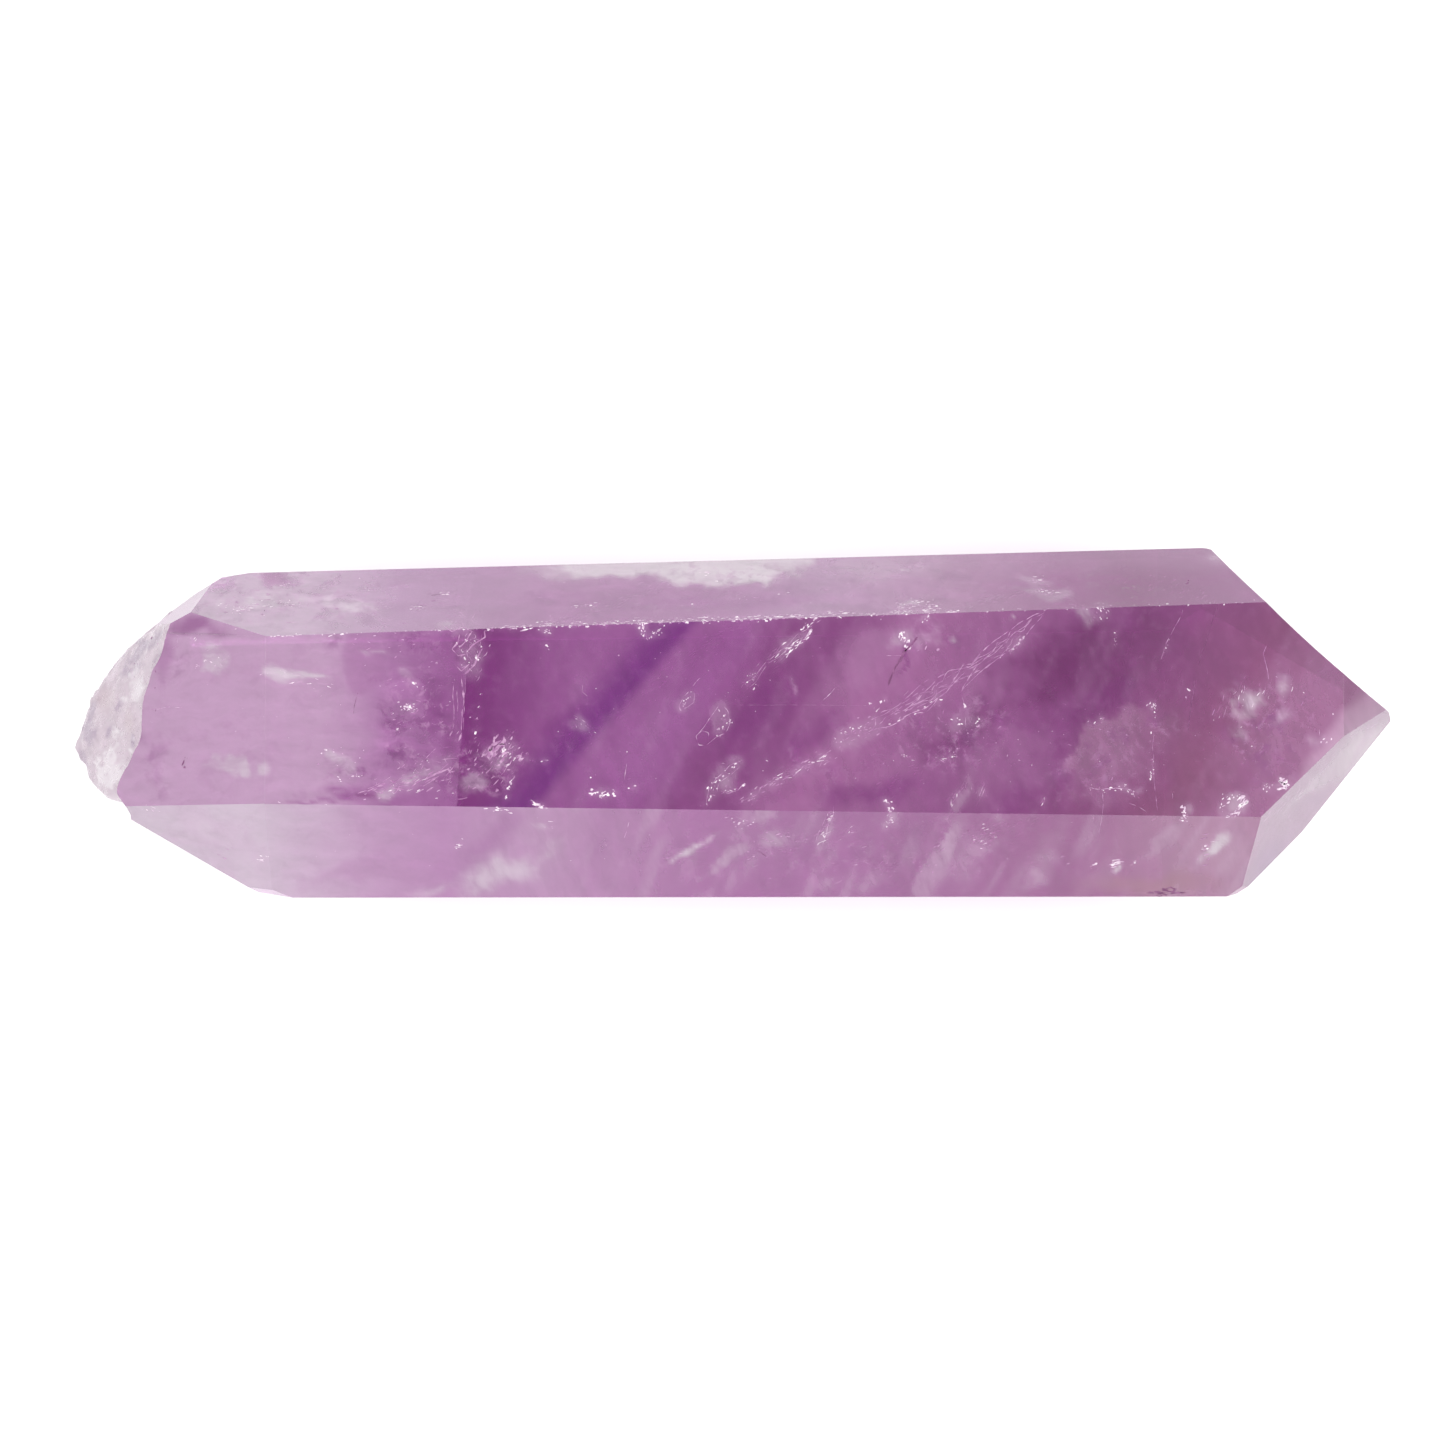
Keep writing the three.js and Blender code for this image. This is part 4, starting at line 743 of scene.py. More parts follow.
DARK_THREADS = {
    "crack": Thread(((920, 634), (911, 646), (903, 656), (896, 669), (887, 688)), 0.1, 0.06, 0.0, 0.4),
    "crack_side": Thread(((916, 641), (905, 652), (899, 664)), 0.06, 0.08, 0.0, 0.6),
    "long_crack": Thread(((1196, 676), (1192, 700), (1190, 715), (1188, 732)), 0.05, 0.02, 0.0, 0.6),
    "long_crack_top": Thread(((1218, 604), (1207, 640), (1197, 668)), 0.025, 0.03, 0.0, 0.6),
    "crescent": Thread(((753, 850), (760, 852), (768, 858)), 0.045, 0.02),
    "curve_at_the_tip": Thread(((1271, 690), (1275, 694), (1276, 702)), 0.02, 0.02),
    "dark_mark": Thread(((1208, 735), (1216, 737)), 0.03, 0.02),
    "left_mark": Thread(((357, 690), (356, 700), (354, 716)), 0.03, 0.05),
}

CURLS = {
    "dark_pocket": Curls((468, 652), (0.8, 1.6), 15, 56, 0.6, 0.03),
    "pink_net_over_it": Curls((466, 622), (1.3, 0.7), 15, 34, 0.5, 0.026),
    "egg": Curls((721, 717), (0.45, 0.9), -15, 60, 0.35, 0.026),
    "left_egg": Curls((686, 702), (0.35, 0.6), -30, 26, 0.3, 0.026),
    "low_pocket": Curls((724, 776), (0.5, 1.4), -38, 76, 0.4, 0.026),
    "net_cluster": Curls((856, 735), (1.5, 0.6), 28, 90, 0.4, 0.026),
    "netted_haze": Curls((218, 650), (0.8, 1.0), 0, 30, 0.5, 0.018),
    "low_rim": Curls((138, 770), (0.5, 0.9), -30, 16, 0.4, 0.012),
    "clump": Curls((502, 754), (1.1, 0.9), 45, 30, 0.5, 0.02),
    "turmoil": Curls((415, 775), (2.4, 0.9), 25, 46, 0.6, 0.016),
    "front_net": Curls((778, 844), (1.2, 0.7), 20, 30, 0.5, 0.014),
    "past_the_veil": Curls((962, 722), (1.3, 0.4), 10, 24, 0.4, 0.016),
    "haze_at_the_edge": Curls((1096, 612), (0.8, 0.5), 20, 22, 0.4, 0.016),
    "pocket_right": Curls((1234, 806), (0.9, 0.6), 45, 26, 0.4, 0.02),
}

# What lies under the crystal is placed by the same pixels, but on the far side of the stone
UNDER_FLAKES = {
    "veil": Flakes(((560, 760), (640, 700), (720, 650), (770, 600)), 130, 0.35, (0.36, 0.07, 0.05), 40, 0.1),
    "second_veil": Flakes(((880, 800), (960, 740), (1050, 700)), 90, 0.3, SLIVER, 35, 0.1),
    "cloud": Flakes(((300, 700), (380, 720)), 70, 1.0, FLAKE, 10, 0.2),
    "far_cloud": Flakes(((1150, 680), (1210, 740)), 60, 0.9, SLIVER, 60, 0.2),
    "front_side": Flakes(((500, 850), (620, 840)), 60, 0.6, SLIVER, 10, 0.2),
    "back_side": Flakes(((700, 585), (860, 590)), 60, 0.5, SLIVER, 5, 0.2),
    "left_end": Flakes(((170, 700), (220, 760)), 40, 0.8, FLAKE, 30, 0.2),
}

UNDER_THREADS = {
    "veil": Thread(((556, 764), (600, 730), (650, 694), (700, 664), (760, 610)), 0.022, 0.12),
    "veil_beside_it": Thread(((590, 752), (640, 706), (700, 676)), 0.016, 0.1),
    "second_veil": Thread(((880, 802), (930, 762), (980, 728), (1046, 702)), 0.02, 0.1),
    "crack": Thread(((430, 640), (440, 700), (428, 760)), 0.018, 0.1),
    "far_crack": Thread(((1130, 640), (1110, 700), (1118, 770)), 0.018, 0.1),
}


def link(thing):
    bpy.context.scene.collection.objects.link(thing)
    return thing


# Camera, floor and light

def towards_camera():
    return Vector((0, -math.cos(CAMERA_ELEVATION), math.sin(CAMERA_ELEVATION)))


def camera_place():
    return CAMERA_AIM + towards_camera() * CAMERA_DISTANCE


def sight_line(at):
    """The direction in which the camera sees a pixel of the photograph."""
    away = CAMERA_LENS_MM / CAMERA_SENSOR_MM * PHOTO_SIDE
    right, up = Vector((1, 0, 0)), Vector((0, towards_camera().z, -towards_camera().y))
    middle = PHOTO_SIDE / 2
    return (right * (at[0] - middle) - up * (at[1] - middle) - towards_camera() * away).normalized()


def add_camera():
    data = bpy.data.cameras.new("photo_camera")
    data.lens = CAMERA_LENS_MM
    data.sensor_width = CAMERA_SENSOR_MM
    data.clip_start = 0.01
    data.clip_end = 20
    camera = link(bpy.data.objects.new("photo_camera", data))
    camera.location = camera_place()
    camera.rotation_euler = (-towards_camera()).to_track_quat("-Z", "Y").to_euler()
    bpy.context.scene.camera = camera


def floor_material():
    material, tree, shader = new_material("pale_floor")
    shader.inputs["Base Color"].default_value = FLOOR_COLOUR
    shader.inputs["Roughness"].default_value = 0.9
    shader.inputs["Specular IOR Level"].default_value = 0.2
    return material


def add_floor():
    mesh = bpy.data.meshes.new("floor")
    half = FLOOR_SIDE / 2
    corners = [(-half, -half), (half, -half), (half, half), (-half, half)]
    mesh.from_pydata([(x, y, -FLOOR_GAP) for x, y in corners], [], [(0, 1, 2, 3)])
    mesh.materials.append(floor_material())
    link(bpy.data.objects.new("floor", mesh))


def add_softbox(name, azimuth, elevation, side):
    data = bpy.data.lights.new(name, "AREA")
    data.size = side
    data.energy = SOFTBOX_WATTS
    around, up = math.radians(azimuth), math.radians(elevation)
    way = Vector((math.sin(around) * math.cos(up), -math.cos(around) * math.cos(up), math.sin(up)))
    lamp = link(bpy.data.objects.new(name, data))
    lamp.location = way * SOFTBOX_DISTANCE
    lamp.rotation_euler = (-way).to_track_quat("-Z", "Y").to_euler()


def add_light():
    world = bpy.data.worlds.new("studio")
    world.use_nodes = True
    background = world.node_tree.nodes["Background"]
    background.inputs["Color"].default_value = (1, 1, 1, 1)
    background.inputs["Strength"].default_value = WORLD_LIGHT
    bpy.context.scene.world = world
    for name, (azimuth, elevation, side) in SOFTBOXES.items():
        add_softbox(name, azimuth, elevation, side)
    bpy.context.scene.view_settings.view_transform = "Standard"


# Building node trees

def new_material(name):
    material = bpy.data.materials.new(name)
    material.use_nodes = True
    return material, material.node_tree, material.node_tree.nodes["Principled BSDF"]


def add_node(tree, kind, inputs=None, **settings):
    """Adds a node. Each input is a plain value or another node's output."""
    made = tree.nodes.new(kind)
    for name, value in settings.items():
        setattr(made, name, value)
    link_inputs(tree, made, inputs or {})
    return made


def link_inputs(tree, made, inputs):
    for name, value in inputs.items():
        if isinstance(value, bpy.types.NodeSocket):
            tree.links.new(value, made.inputs[name])
        else:
            made.inputs[name].default_value = value


def maths(tree, operation, first, second=0.0):
    return add_node(tree, "ShaderNodeMath", {0: first, 1: second}, operation=operation).outputs[0]


def vector_maths(tree, operation, first, second=(0, 0, 0)):
    return add_node(tree, "ShaderNodeVectorMath", {0: first, 1: second}, operation=operation).outputs[0]


def blend(tree, share, under, over):
    """The colour under, with that share of the colour over laid on it."""
    inputs = {"Factor": share, 6: under, 7: over}
    return add_node(tree, "ShaderNodeMix", inputs, data_type="RGBA").outputs[2]


def fade(tree, value, start, end, low=0.0, high=1.0):
    """Goes smoothly from low, where the value is at start, to high, where it is at end."""
    inputs = {"Value": value, "From Min": start, "From Max": end, "To Min": low, "To Max": high}
    return add_node(tree, "ShaderNodeMapRange", inputs, interpolation_type="SMOOTHSTEP").outputs[0]


def grain(tree, place, scale, detail=3.0, roughness=0.55):
    inputs = {"Vector": place, "Scale": scale, "Detail": detail, "Roughness": roughness}
    return add_node(tree, "ShaderNodeTexNoise", inputs).outputs


def new_group(name, inputs, outputs):
    """A shader node group with named sockets. inputs and outputs are name: kind of socket."""
    group = bpy.data.node_groups.new(name, "ShaderNodeTree")
    for direction, sockets in (("INPUT", inputs), ("OUTPUT", outputs)):
        for socket, kind in sockets.items():
            group.interface.new_socket(socket, in_out=direction, socket_type=kind)
    return group, group.nodes.new("NodeGroupInput").outputs, group.nodes.new("NodeGroupOutput").inputs


def zone_group():
    """How much of a growth zone covers a place: it ends sharply on a plane and fades out behind it."""
    inputs = {
        "Place": "NodeSocketVector", "Point": "NodeSocketVector", "Inwards": "NodeSocketVector",
        "Width": "NodeSocketFloat", "Sharpness": "NodeSocketFloat", "Strength": "NodeSocketFloat",
    }
    group, given, result = new_group("growth_zone", inputs, {"Share": "NodeSocketFloat"})
    offset = vector_maths(group, "SUBTRACT", given["Place"], given["Point"])
    pair = {0: offset, 1: given["Inwards"]}
    depth = add_node(group, "ShaderNodeVectorMath", pair, operation="DOT_PRODUCT").outputs["Value"]
    ends = fade(group, depth, 0.0, given["Sharpness"])
    fades = fade(group, depth, given["Width"], given["Sharpness"])
    share = maths(group, "MULTIPLY", ends, fades)
    group.links.new(maths(group, "MULTIPLY", share, given["Strength"]), result["Share"])
    return group


# The crystal's shape

def merged_crystal():
    """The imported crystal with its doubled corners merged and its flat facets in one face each."""
    shape = bmesh.new()
    shape.from_mesh(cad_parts["amethyst_point"].data)
    bmesh.ops.remove_doubles(shape, verts=shape.verts, dist=MERGE_DISTANCE)
    bmesh.ops.dissolve_limit(shape, angle_limit=FLAT_WITHIN, verts=shape.verts, edges=shape.edges)
    return shape


def is_break(face):
    return face.calc_area() < BREAK_LARGEST_FACE and face.calc_center_median().x < BREAK_ENDS_AT_X


def wear_edges(shape):
    """Rounds the edges between polished facets a little."""
    by_the_break = {vert for face in shape.faces if is_break(face) for vert in face.verts}
    worn = [
        edge for edge in shape.edges
        if edge.calc_face_angle() > LEAST_EDGE_ANGLE and not by_the_break.intersection(edge.verts)
    ]
    bmesh.ops.bevel(
        shape, geom=worn, offset=EDGE_WEAR, offset_type="OFFSET", segments=EDGE_WEAR_STEPS,
        profile=0.5, affect="EDGES", clamp_overlap=True)


def round_corners(shape):
    """Takes off the sharp corners of the outline seen from above, each by a few upright cuts."""
    for corner, first, last, radius in ROUNDED_CORNERS.values():
        half_turn = math.radians(abs(last - first)) / 2
        middle = math.radians((first + last) / 2)
        centre = Vector(corner) * MM
        centre -= Vector((math.cos(middle), math.sin(middle), 0)) * radius * MM / math.cos(half_turn)
        for step in range(1, CORNER_CUTS + 1):
            angle = math.radians(first + (last - first) * step / (CORNER_CUTS + 1))
            outward = Vector((math.cos(angle), math.sin(angle), 0))
            cut_off(shape, centre + outward * radius * MM, outward)


def cut_off(shape, place, outward):
    parts = [*shape.verts, *shape.edges, *shape.faces]
    cut = bmesh.ops.bisect_plane(shape, geom=parts, plane_co=place, plane_no=outward, clear_outer=True)
    edges = [part for part in cut["geom_cut"] if isinstance(part, bmesh.types.BMEdge)]
    if edges:
        bmesh.ops.edgeloop_fill(shape, edges=edges)


def roughen_break(shape):
    """Divides the faces of the break and gives them a finer relief, and leaves its rim where it is."""
    layer = shape.faces.layers.int.new("break")
    for face in shape.faces:
        face[layer] = is_break(face)
    faces = [face for face in shape.faces if face[layer]]
    bmesh.ops.triangulate(shape, faces=faces)
    for _ in range(BREAK_CUTS):
        edges = dict.fromkeys(edge for face in shape.faces if face[layer] for edge in face.edges)
        bmesh.ops.subdivide_edges(shape, edges=list(edges), cuts=1, use_grid_fill=True)
    shape.normal_update()
    inner = {vert for face in shape.faces if face[layer] for vert in face.verts}
    for vert in inner:
        if all(face[layer] for face in vert.link_faces):
            vert.co += vert.normal * break_relief(vert.co)
    for face in shape.faces:
        face.material_index = face[layer]
        face.smooth = bool(face[layer])


def break_relief(place):
    heights = [
        height * noise.noise(place / (size * MM)) for size, height in BREAK_RELIEF.items()
    ]
    return sum(heights) * MM


def cut_to_grid(shape):
    """Cuts the polished facets into small faces, so that they can carry the colours of the stone."""
    for is_above, step in ((True, GRID_ABOVE), (False, GRID_BELOW)):
        for axis in range(3):
            faces = [
                face for face in shape.faces
                if not face.material_index and (face.normal.z > LOOKS_DOWN) == is_above
                and is_cut_across(face, axis)
            ]
            cut_across(shape, faces, axis, step)


def is_cut_across(face, axis):
    looks_up_or_down = abs(face.normal.z) > LOOKS_UP_OR_DOWN
    return axis == 0 or looks_up_or_down == (axis == 1)


def cut_across(shape, faces, axis, step):
    """Cuts the faces by planes that stand square to one axis, a step apart."""
    low, high = (Vector(corner) for corner in CAD_BOX)
    normal = Vector((axis == 0, axis == 1, axis == 2))
    for number in range(1, math.ceil((high[axis] - low[axis]) / step)):
        place = low + normal * step * number
        geometry = dict.fromkeys(part for face in faces for part in (face, *face.edges, *face.verts))
        cut = bmesh.ops.bisect_plane(shape, geom=list(geometry), plane_co=place, plane_no=normal)
        faces = [
            part for part in cut["geom"]
            if isinstance(part, bmesh.types.BMFace) and part.calc_center_bounds()[axis] > place[axis]
        ]


def add_crystal():
    shape = merged_crystal()
    round_corners(shape)
    roughen_break(shape)
    wear_edges(shape)
    cut_to_grid(shape)
    mesh = bpy.data.meshes.new("amethyst_crystal")
    shape.to_mesh(mesh)
    shape.free()
    mesh.materials.append(amethyst_material())
    mesh.materials.append(break_material())
    colour_stone(mesh)
    crystal = link(bpy.data.objects.new("amethyst_crystal", mesh))
    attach(crystal, "root")
    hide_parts("amethyst_point")


def surface_of_crystal():
    shape = merged_crystal()
    tree = BVHTree.FromBMesh(shape)
    shape.free()
    return tree


SURFACE = surface_of_crystal()


def seen_or_none(at, under=False):
    """The place on the crystal and the way it faces there, at a pixel of the photograph. under takes
    the far side of the stone. None where the pixel misses the crystal."""
    start, way = camera_place(), sight_line(at)
    if under:
        start, way = start + way * 2 * CAMERA_DISTANCE, -way
    place, normal = SURFACE.ray_cast(start, way)[:2]
    return None if place is None else (place, normal)


def seen_at(at):
    """The place on the crystal that shows at a pixel of the photograph."""
    return seen_or_none(at)[0]


# The colours of the stone, worked out at each corner of the grid

def smooth(values, start, end):
    """0 where the value is at start, 1 where it is at end, and smooth between."""
    share = np.clip((values - start) / (end - start), 0, 1)
    return share * share * (3 - 2 * share)


def lay(under, share, over):
    """The colours under, with that share of the colours over laid on them."""
    return under + share[:, None] * (np.asarray(over) - under)


def run_along(stops, lengthwise):
    """The colours of a run along the stone, at the given places along it."""
    places = [seen_at((column, MIDDLE_ROW)).x for column, colour in stops]
    channels = [np.interp(lengthwise, places, [colour[i] for column, colour in stops]) for i in range(3)]
    return np.stack(channels, axis=1)


def is_on_top(at):
    """Whether a pixel of the photograph shows one of the facets that look up."""
    return seen_or_none(at)[1].z > LOOKS_UP_OR_DOWN


def rim_towards(patch, offset):
    """The part of a patch that fades out, in the direction of each place."""
    if patch.crisp is None:
        return patch.rim
    crisp = math.radians(patch.crisp)
    towards = offset[:, 0] * math.cos(crisp) + offset[:, 1] * math.sin(crisp)
    away = np.linalg.norm(offset[:, :2], axis=1).clip(MERGE_DISTANCE)
    return patch.rim * (1 - CRISPNESS * smooth(towards / away, 0.0, 0.8))


def patch_share(patch, places, roughness, looks_up=None):
    """How much of the patch covers each place. It stays on the facets that look up, or off them."""
    turn, middle, on_top = math.radians(patch.turn), seen_at(patch.at), is_on_top(patch.at)
    offset = places - np.array(middle)
    along = offset[:, 0] * math.cos(turn) + offset[:, 1] * math.sin(turn)
    across = offset[:, 1] * math.cos(turn) - offset[:, 0] * math.sin(turn)
    depth = DEPTH_FROM_THE_TOP if on_top else DEPTH_FROM_A_SIDE
    reach = np.array((*patch.reach, depth)) * MM
    parts = np.stack([along, across, offset[:, 2]], axis=1) / reach
    away = np.linalg.norm(parts, axis=1) + roughness * patch.ragged
    share = smooth(away, 1.0, 1.0 - rim_towards(patch, offset)) * patch.strength
    if looks_up is None:
        return share
    return share * (looks_up if on_top else 1 - looks_up)


def moves_at(place):
    """A smooth move along each axis at a place, from -1 to 1."""
    return [noise.noise(place + offset) for offset in MOVE_NOISE_OFFSETS]


def stir(places):
    """Moves each place a little, so that what lies in the stone has no even outline."""
    drawn_out = places * UPRIGHT_SHARE / STIR_SIZE
    moves = [moves_at(Vector(place)) for place in drawn_out]
    finer = [moves_at(Vector(place) * 3) for place in drawn_out]
    return places + np.array(moves) * STIR_REACH + np.array(finer) * STIR_REACH / 3


def rough_values(places, size, octaves=4):
    drawn_out = places * UPRIGHT_SHARE / size
    return np.array([noise.fractal(Vector(place), 0.6, 2.0, octaves) for place in drawn_out])


def body_colours(places, normals):
    """The colour of the stone with no patches: a run of colours on each side, partly its own and partly painted
    light, as the facets are made lighter or darker by the way that they face.
    """
    slant = SLANT * smooth(places[:, 0], *SLANT_STARTS)
    lengthwise = places[:, 0] - places[:, 1] * slant
    middle = run_along(ALONG_MIDDLE, lengthwise)
    back, front = run_along(ALONG_BACK_WITH_PAINTED_LIGHT, places[:, 0]), run_along(ALONG_FRONT_WITH_PAINTED_LIGHT, places[:, 0])
    # Painted light: the facets that slope to the back or front take those runs in place of the middle one
    sides = lay(front, (normals[:, 1] > 0) * 1.0, back)
    colours = lay(middle, smooth(abs(normals[:, 2]), 0.75, 0.6), sides)
    # Painted light: paler towards the low edge of the back facets
    rim = smooth(places[:, 2], *PAINTED_LIGHT_BACK_RIM) * (normals[:, 1] > 0.5) * smooth(places[:, 0], *SLANT_STARTS)
    colours = lay(colours, rim * PAINTED_LIGHT_BACK_RIM_STRENGTH, PALE_LILAC)
    # Painted light: a pale glow on the sharp end's front facet
    colours = lay(colours, smooth(normals[:, 0], 0.5, 0.62) * (normals[:, 1] < -0.3), PAINTED_GLOW_OF_THE_SHARP_FACET)
    # Painted light: the upward facets at the broken end are lightened
    at_the_break = smooth(-normals[:, 0], 0.5, 0.58) * smooth(normals[:, 2], 0.5, 0.6)
    return lay(colours, at_the_break, colours * BROKEN_END_TOP_PAINTED_LIGHTER)


def curtains(places):
    """How milky the stone is with faint curtains that lean, away from the broken end."""
    turn = math.radians(CURTAIN_TURN)
    along = places[:, 0] * math.cos(turn) + places[:, 1] * math.sin(turn)
    across = places[:, 1] * math.cos(turn) - places[:, 0] * math.sin(turn)
    turned = np.stack([along, across, places[:, 2]], axis=1) / CURTAIN_SIZE
    share = smooth(rough_values(turned, 1.0, 2), -0.1, 0.8)
    return share * smooth(places[:, 0], *SLANT_STARTS) * CURTAIN_STRENGTH


def halo(places):
    """How milky the stone is round its flakes and threads."""
    near = KDTree(len(INCLUSION_PLACES))
    for index, place in enumerate(INCLUSION_PLACES):
        near.insert(place, index)
    near.balance()
    shares = [
        sum((1 - away / HALO_REACH) ** 2 for _, _, away in near.find_range(Vector(place), HALO_REACH))
        for place in places
    ]
    return np.minimum(np.array(shares) * HALO_OF_ONE, HALO_MOST)


def colour_stone(mesh):
    """Writes the colour at each corner, and as its alpha how milky the stone is there."""
    vertices = np.array([vertex.co for vertex in mesh.vertices])
    stirred, roughness = stir(vertices), rough_values(vertices, ROUGH_SIZE)
    corners = np.array([loop.vertex_index for loop in mesh.loops])
    normals = np.repeat(
        np.array([face.normal for face in mesh.polygons]),
        [face.loop_total for face in mesh.polygons], axis=0)
    places, roughness = stirred[corners], roughness[corners]
    colours = body_colours(places, normals)
    looks_up = smooth(normals[:, 2], 0.5, 0.8)
    unrest = np.full(len(places), LEAST_UNREST)
    for name, patch in PATCHES.items():
        colours = lay(colours, patch_share(patch, places, roughness, looks_up), patch.colour)
    milk = curtains(vertices)[corners] * (1 - 0.6 * looks_up) * (normals[:, 1] < 0.3)
    for cloud in CLOUDS.values():
        milk = np.maximum(milk, patch_share(cloud, places, roughness, looks_up))
    milk = np.maximum(milk, halo(vertices)[corners])
    for patch in UNREST.values():
        unrest = np.maximum(unrest, patch_share(patch, places, roughness, looks_up))
    unrest[(normals[:, 0] > 0.5) & (normals[:, 1] < -0.3)] = 0
    on_break = np.repeat(
        np.array([face.material_index for face in mesh.polygons]),
        [face.loop_total for face in mesh.polygons]) == 1
    finer = rough_values(vertices, BREAK_BLOTCH_SIZE)[corners]
    colours[on_break] = break_colours(vertices[corners][on_break], finer[on_break])
    layer = mesh.color_attributes.new("stone", "FLOAT_COLOR", "CORNER")
    layer.data.foreach_set("color", np.column_stack([colours, milk]).ravel())
    mesh.attributes.new("unrest", "FLOAT", "CORNER").data.foreach_set("value", unrest)


def break_colours(places, roughness):
    """The colours of the frosty break."""
    colours = np.tile(FROST, (len(places), 1)) * (1 + BREAK_MOTTLE * roughness[:, None])
    for blotch in BREAK_BLOTCHES.values():
        colours = lay(colours, patch_share(blotch, places, roughness), blotch.colour)
    return colours


# The crystal's finish

def stone_place(tree):
    """The place in the stone, in millimetres."""
    coordinates = tree.nodes.new("ShaderNodeTexCoord").outputs
    place = vector_maths(tree, "MULTIPLY", coordinates["Object"], (1000, 1000, 1000))
    return place, coordinates["Normal"]


def lay_zones(tree, colour, place, looks_up):
    group = zone_group()
    for name, zone in ZONES.items():
        start, end = seen_at(zone.start) / MM, seen_at(zone.end) / MM
        along = end - start
        inwards = Vector((-along.y, along.x, 0)).normalized()
        node = add_node(tree, "ShaderNodeGroup", None, node_tree=group, name=name)
        link_inputs(tree, node, {
            "Place": place, "Point": start, "Inwards": inwards, "Width": zone.fades,
            "Sharpness": zone.ends, "Strength": zone.strength,
        })
        share = maths(tree, "MULTIPLY", node.outputs["Share"], looks_up)
        colour = blend(tree, share, colour, (*zone.colour, 1))
    return colour


def streaks(tree, place, turn, size):
    """Fine streaks that run at an angle across the stone."""
    turned = {"Vector": place, "Rotation": (0, 0, -math.radians(turn)), "Scale": size}
    along = add_node(tree, "ShaderNodeMapping", turned, vector_type="TEXTURE").outputs[0]
    return grain(tree, along, 1.0, 3.0, 0.6)[0]


def stirred_by(tree, place, reach):
    """The place, moved up to about half the reach each way by noise."""
    drawn_out = vector_maths(tree, "MULTIPLY", place, UPRIGHT_SHARE)
    moves = vector_maths(tree, "SUBTRACT", grain(tree, drawn_out, 0.5, 4.0)["Color"], (0.5, 0.5, 0.5))
    return vector_maths(tree, "ADD", place, vector_maths(tree, "MULTIPLY", moves, (reach, reach, reach)))


def streaked(tree, place, normal):
    """Soft streaks that lie level at the broken end and on the back, and steep in the rest."""
    lengthwise = add_node(tree, "ShaderNodeSeparateXYZ", {0: place}).outputs["X"]
    looks_back = add_node(tree, "ShaderNodeSeparateXYZ", {0: normal}).outputs["Y"]
    level = streaks(tree, place, 3, (2.6, 0.8, 2.4))
    steep = streaks(tree, place, 66, (3.0, 0.8, 7.0))
    change = maths(tree, "SUBTRACT", steep, level)
    share = maths(tree, "MULTIPLY", fade(tree, lengthwise, -19, -12), fade(tree, looks_back, 0.6, 0.3))
    return maths(tree, "ADD", level, maths(tree, "MULTIPLY", change, share))


def blotched(tree, colour, place, unrest):
    """The colour with pale and dark blotches where the stone is full of flaws."""
    dark = maths(tree, "MULTIPLY", fade(tree, grain(tree, place, 0.7, 4.0, 0.6)[0], 0.5, 0.34, 0, 0.7), unrest)
    pale = maths(tree, "MULTIPLY", fade(tree, grain(tree, place, 1.6, 5.0, 0.72)[0], 0.5, 0.68, 0, 0.85), unrest)
    colour = blend(tree, dark, colour, (*DARK_BLOTCH, 1))
    return blend(tree, pale, colour, (*PALE_BLOTCH, 1))


def stone_colour(tree):
    """The colour of the stone: that of the grid, its sharp growth zones, its milk and a fine mottle."""
    place, normal = stone_place(tree)
    facing = add_node(tree, "ShaderNodeSeparateXYZ", {0: normal}).outputs["Z"]
    looks_up = fade(tree, facing, 0.5, 0.8)
    stone = add_node(tree, "ShaderNodeVertexColor", layer_name="stone").outputs
    unrest = add_node(tree, "ShaderNodeAttribute", attribute_name="unrest").outputs["Fac"]
    stirred = stirred_by(tree, place, 1.3)
    colour = lay_zones(tree, stone["Color"], stirred_by(tree, place, 0.5), looks_up)
    drawn_out = vector_maths(tree, "MULTIPLY", stirred, UPRIGHT_SHARE)
    colour = blotched(tree, colour, drawn_out, unrest)
    soft = streaked(tree, stirred, normal)
    milk = maths(tree, "MULTIPLY", stone["Alpha"], fade(tree, soft, 0.32, 0.6, 0.8, 1.06))
    milky = blend(tree, fade(tree, milk, 0.0, 0.8), (*VEIL, 1), (*MILK, 1))
    colour = blend(tree, milk, colour, milky)
    fine = maths(tree, "MULTIPLY", grain(tree, drawn_out, 1.6, 6.0, 0.7)[0], 0.5)
    broad = maths(tree, "MULTIPLY", soft, 1.7)
    uneven = maths(tree, "SUBTRACT", maths(tree, "ADD", fine, broad), 1.1)
    reach = fade(tree, unrest, 0, 1, 0.18, 0.6)
    shade = maths(tree, "ADD", maths(tree, "MULTIPLY", uneven, reach), 1.0)
    return add_node(tree, "ShaderNodeVectorMath", {0: colour, "Scale": shade}, operation="SCALE").outputs[0]


def amethyst_material():
    material, tree, shader = new_material("amethyst")
    tree.links.new(stone_colour(tree), shader.inputs["Base Color"])
    shader.inputs["Roughness"].default_value = 0.05
    shader.inputs["IOR"].default_value = QUARTZ_IOR
    shader.inputs["Transmission Weight"].default_value = CLEARNESS
    add_absorption(tree)
    return material


def add_absorption(tree):
    inputs = {"Color": ABSORBED_TO, "Density": ABSORPTION_DENSITY}
    volume = add_node(tree, "ShaderNodeVolumeAbsorption", inputs).outputs["Volume"]
    tree.links.new(volume, tree.nodes["Material Output"].inputs["Volume"])


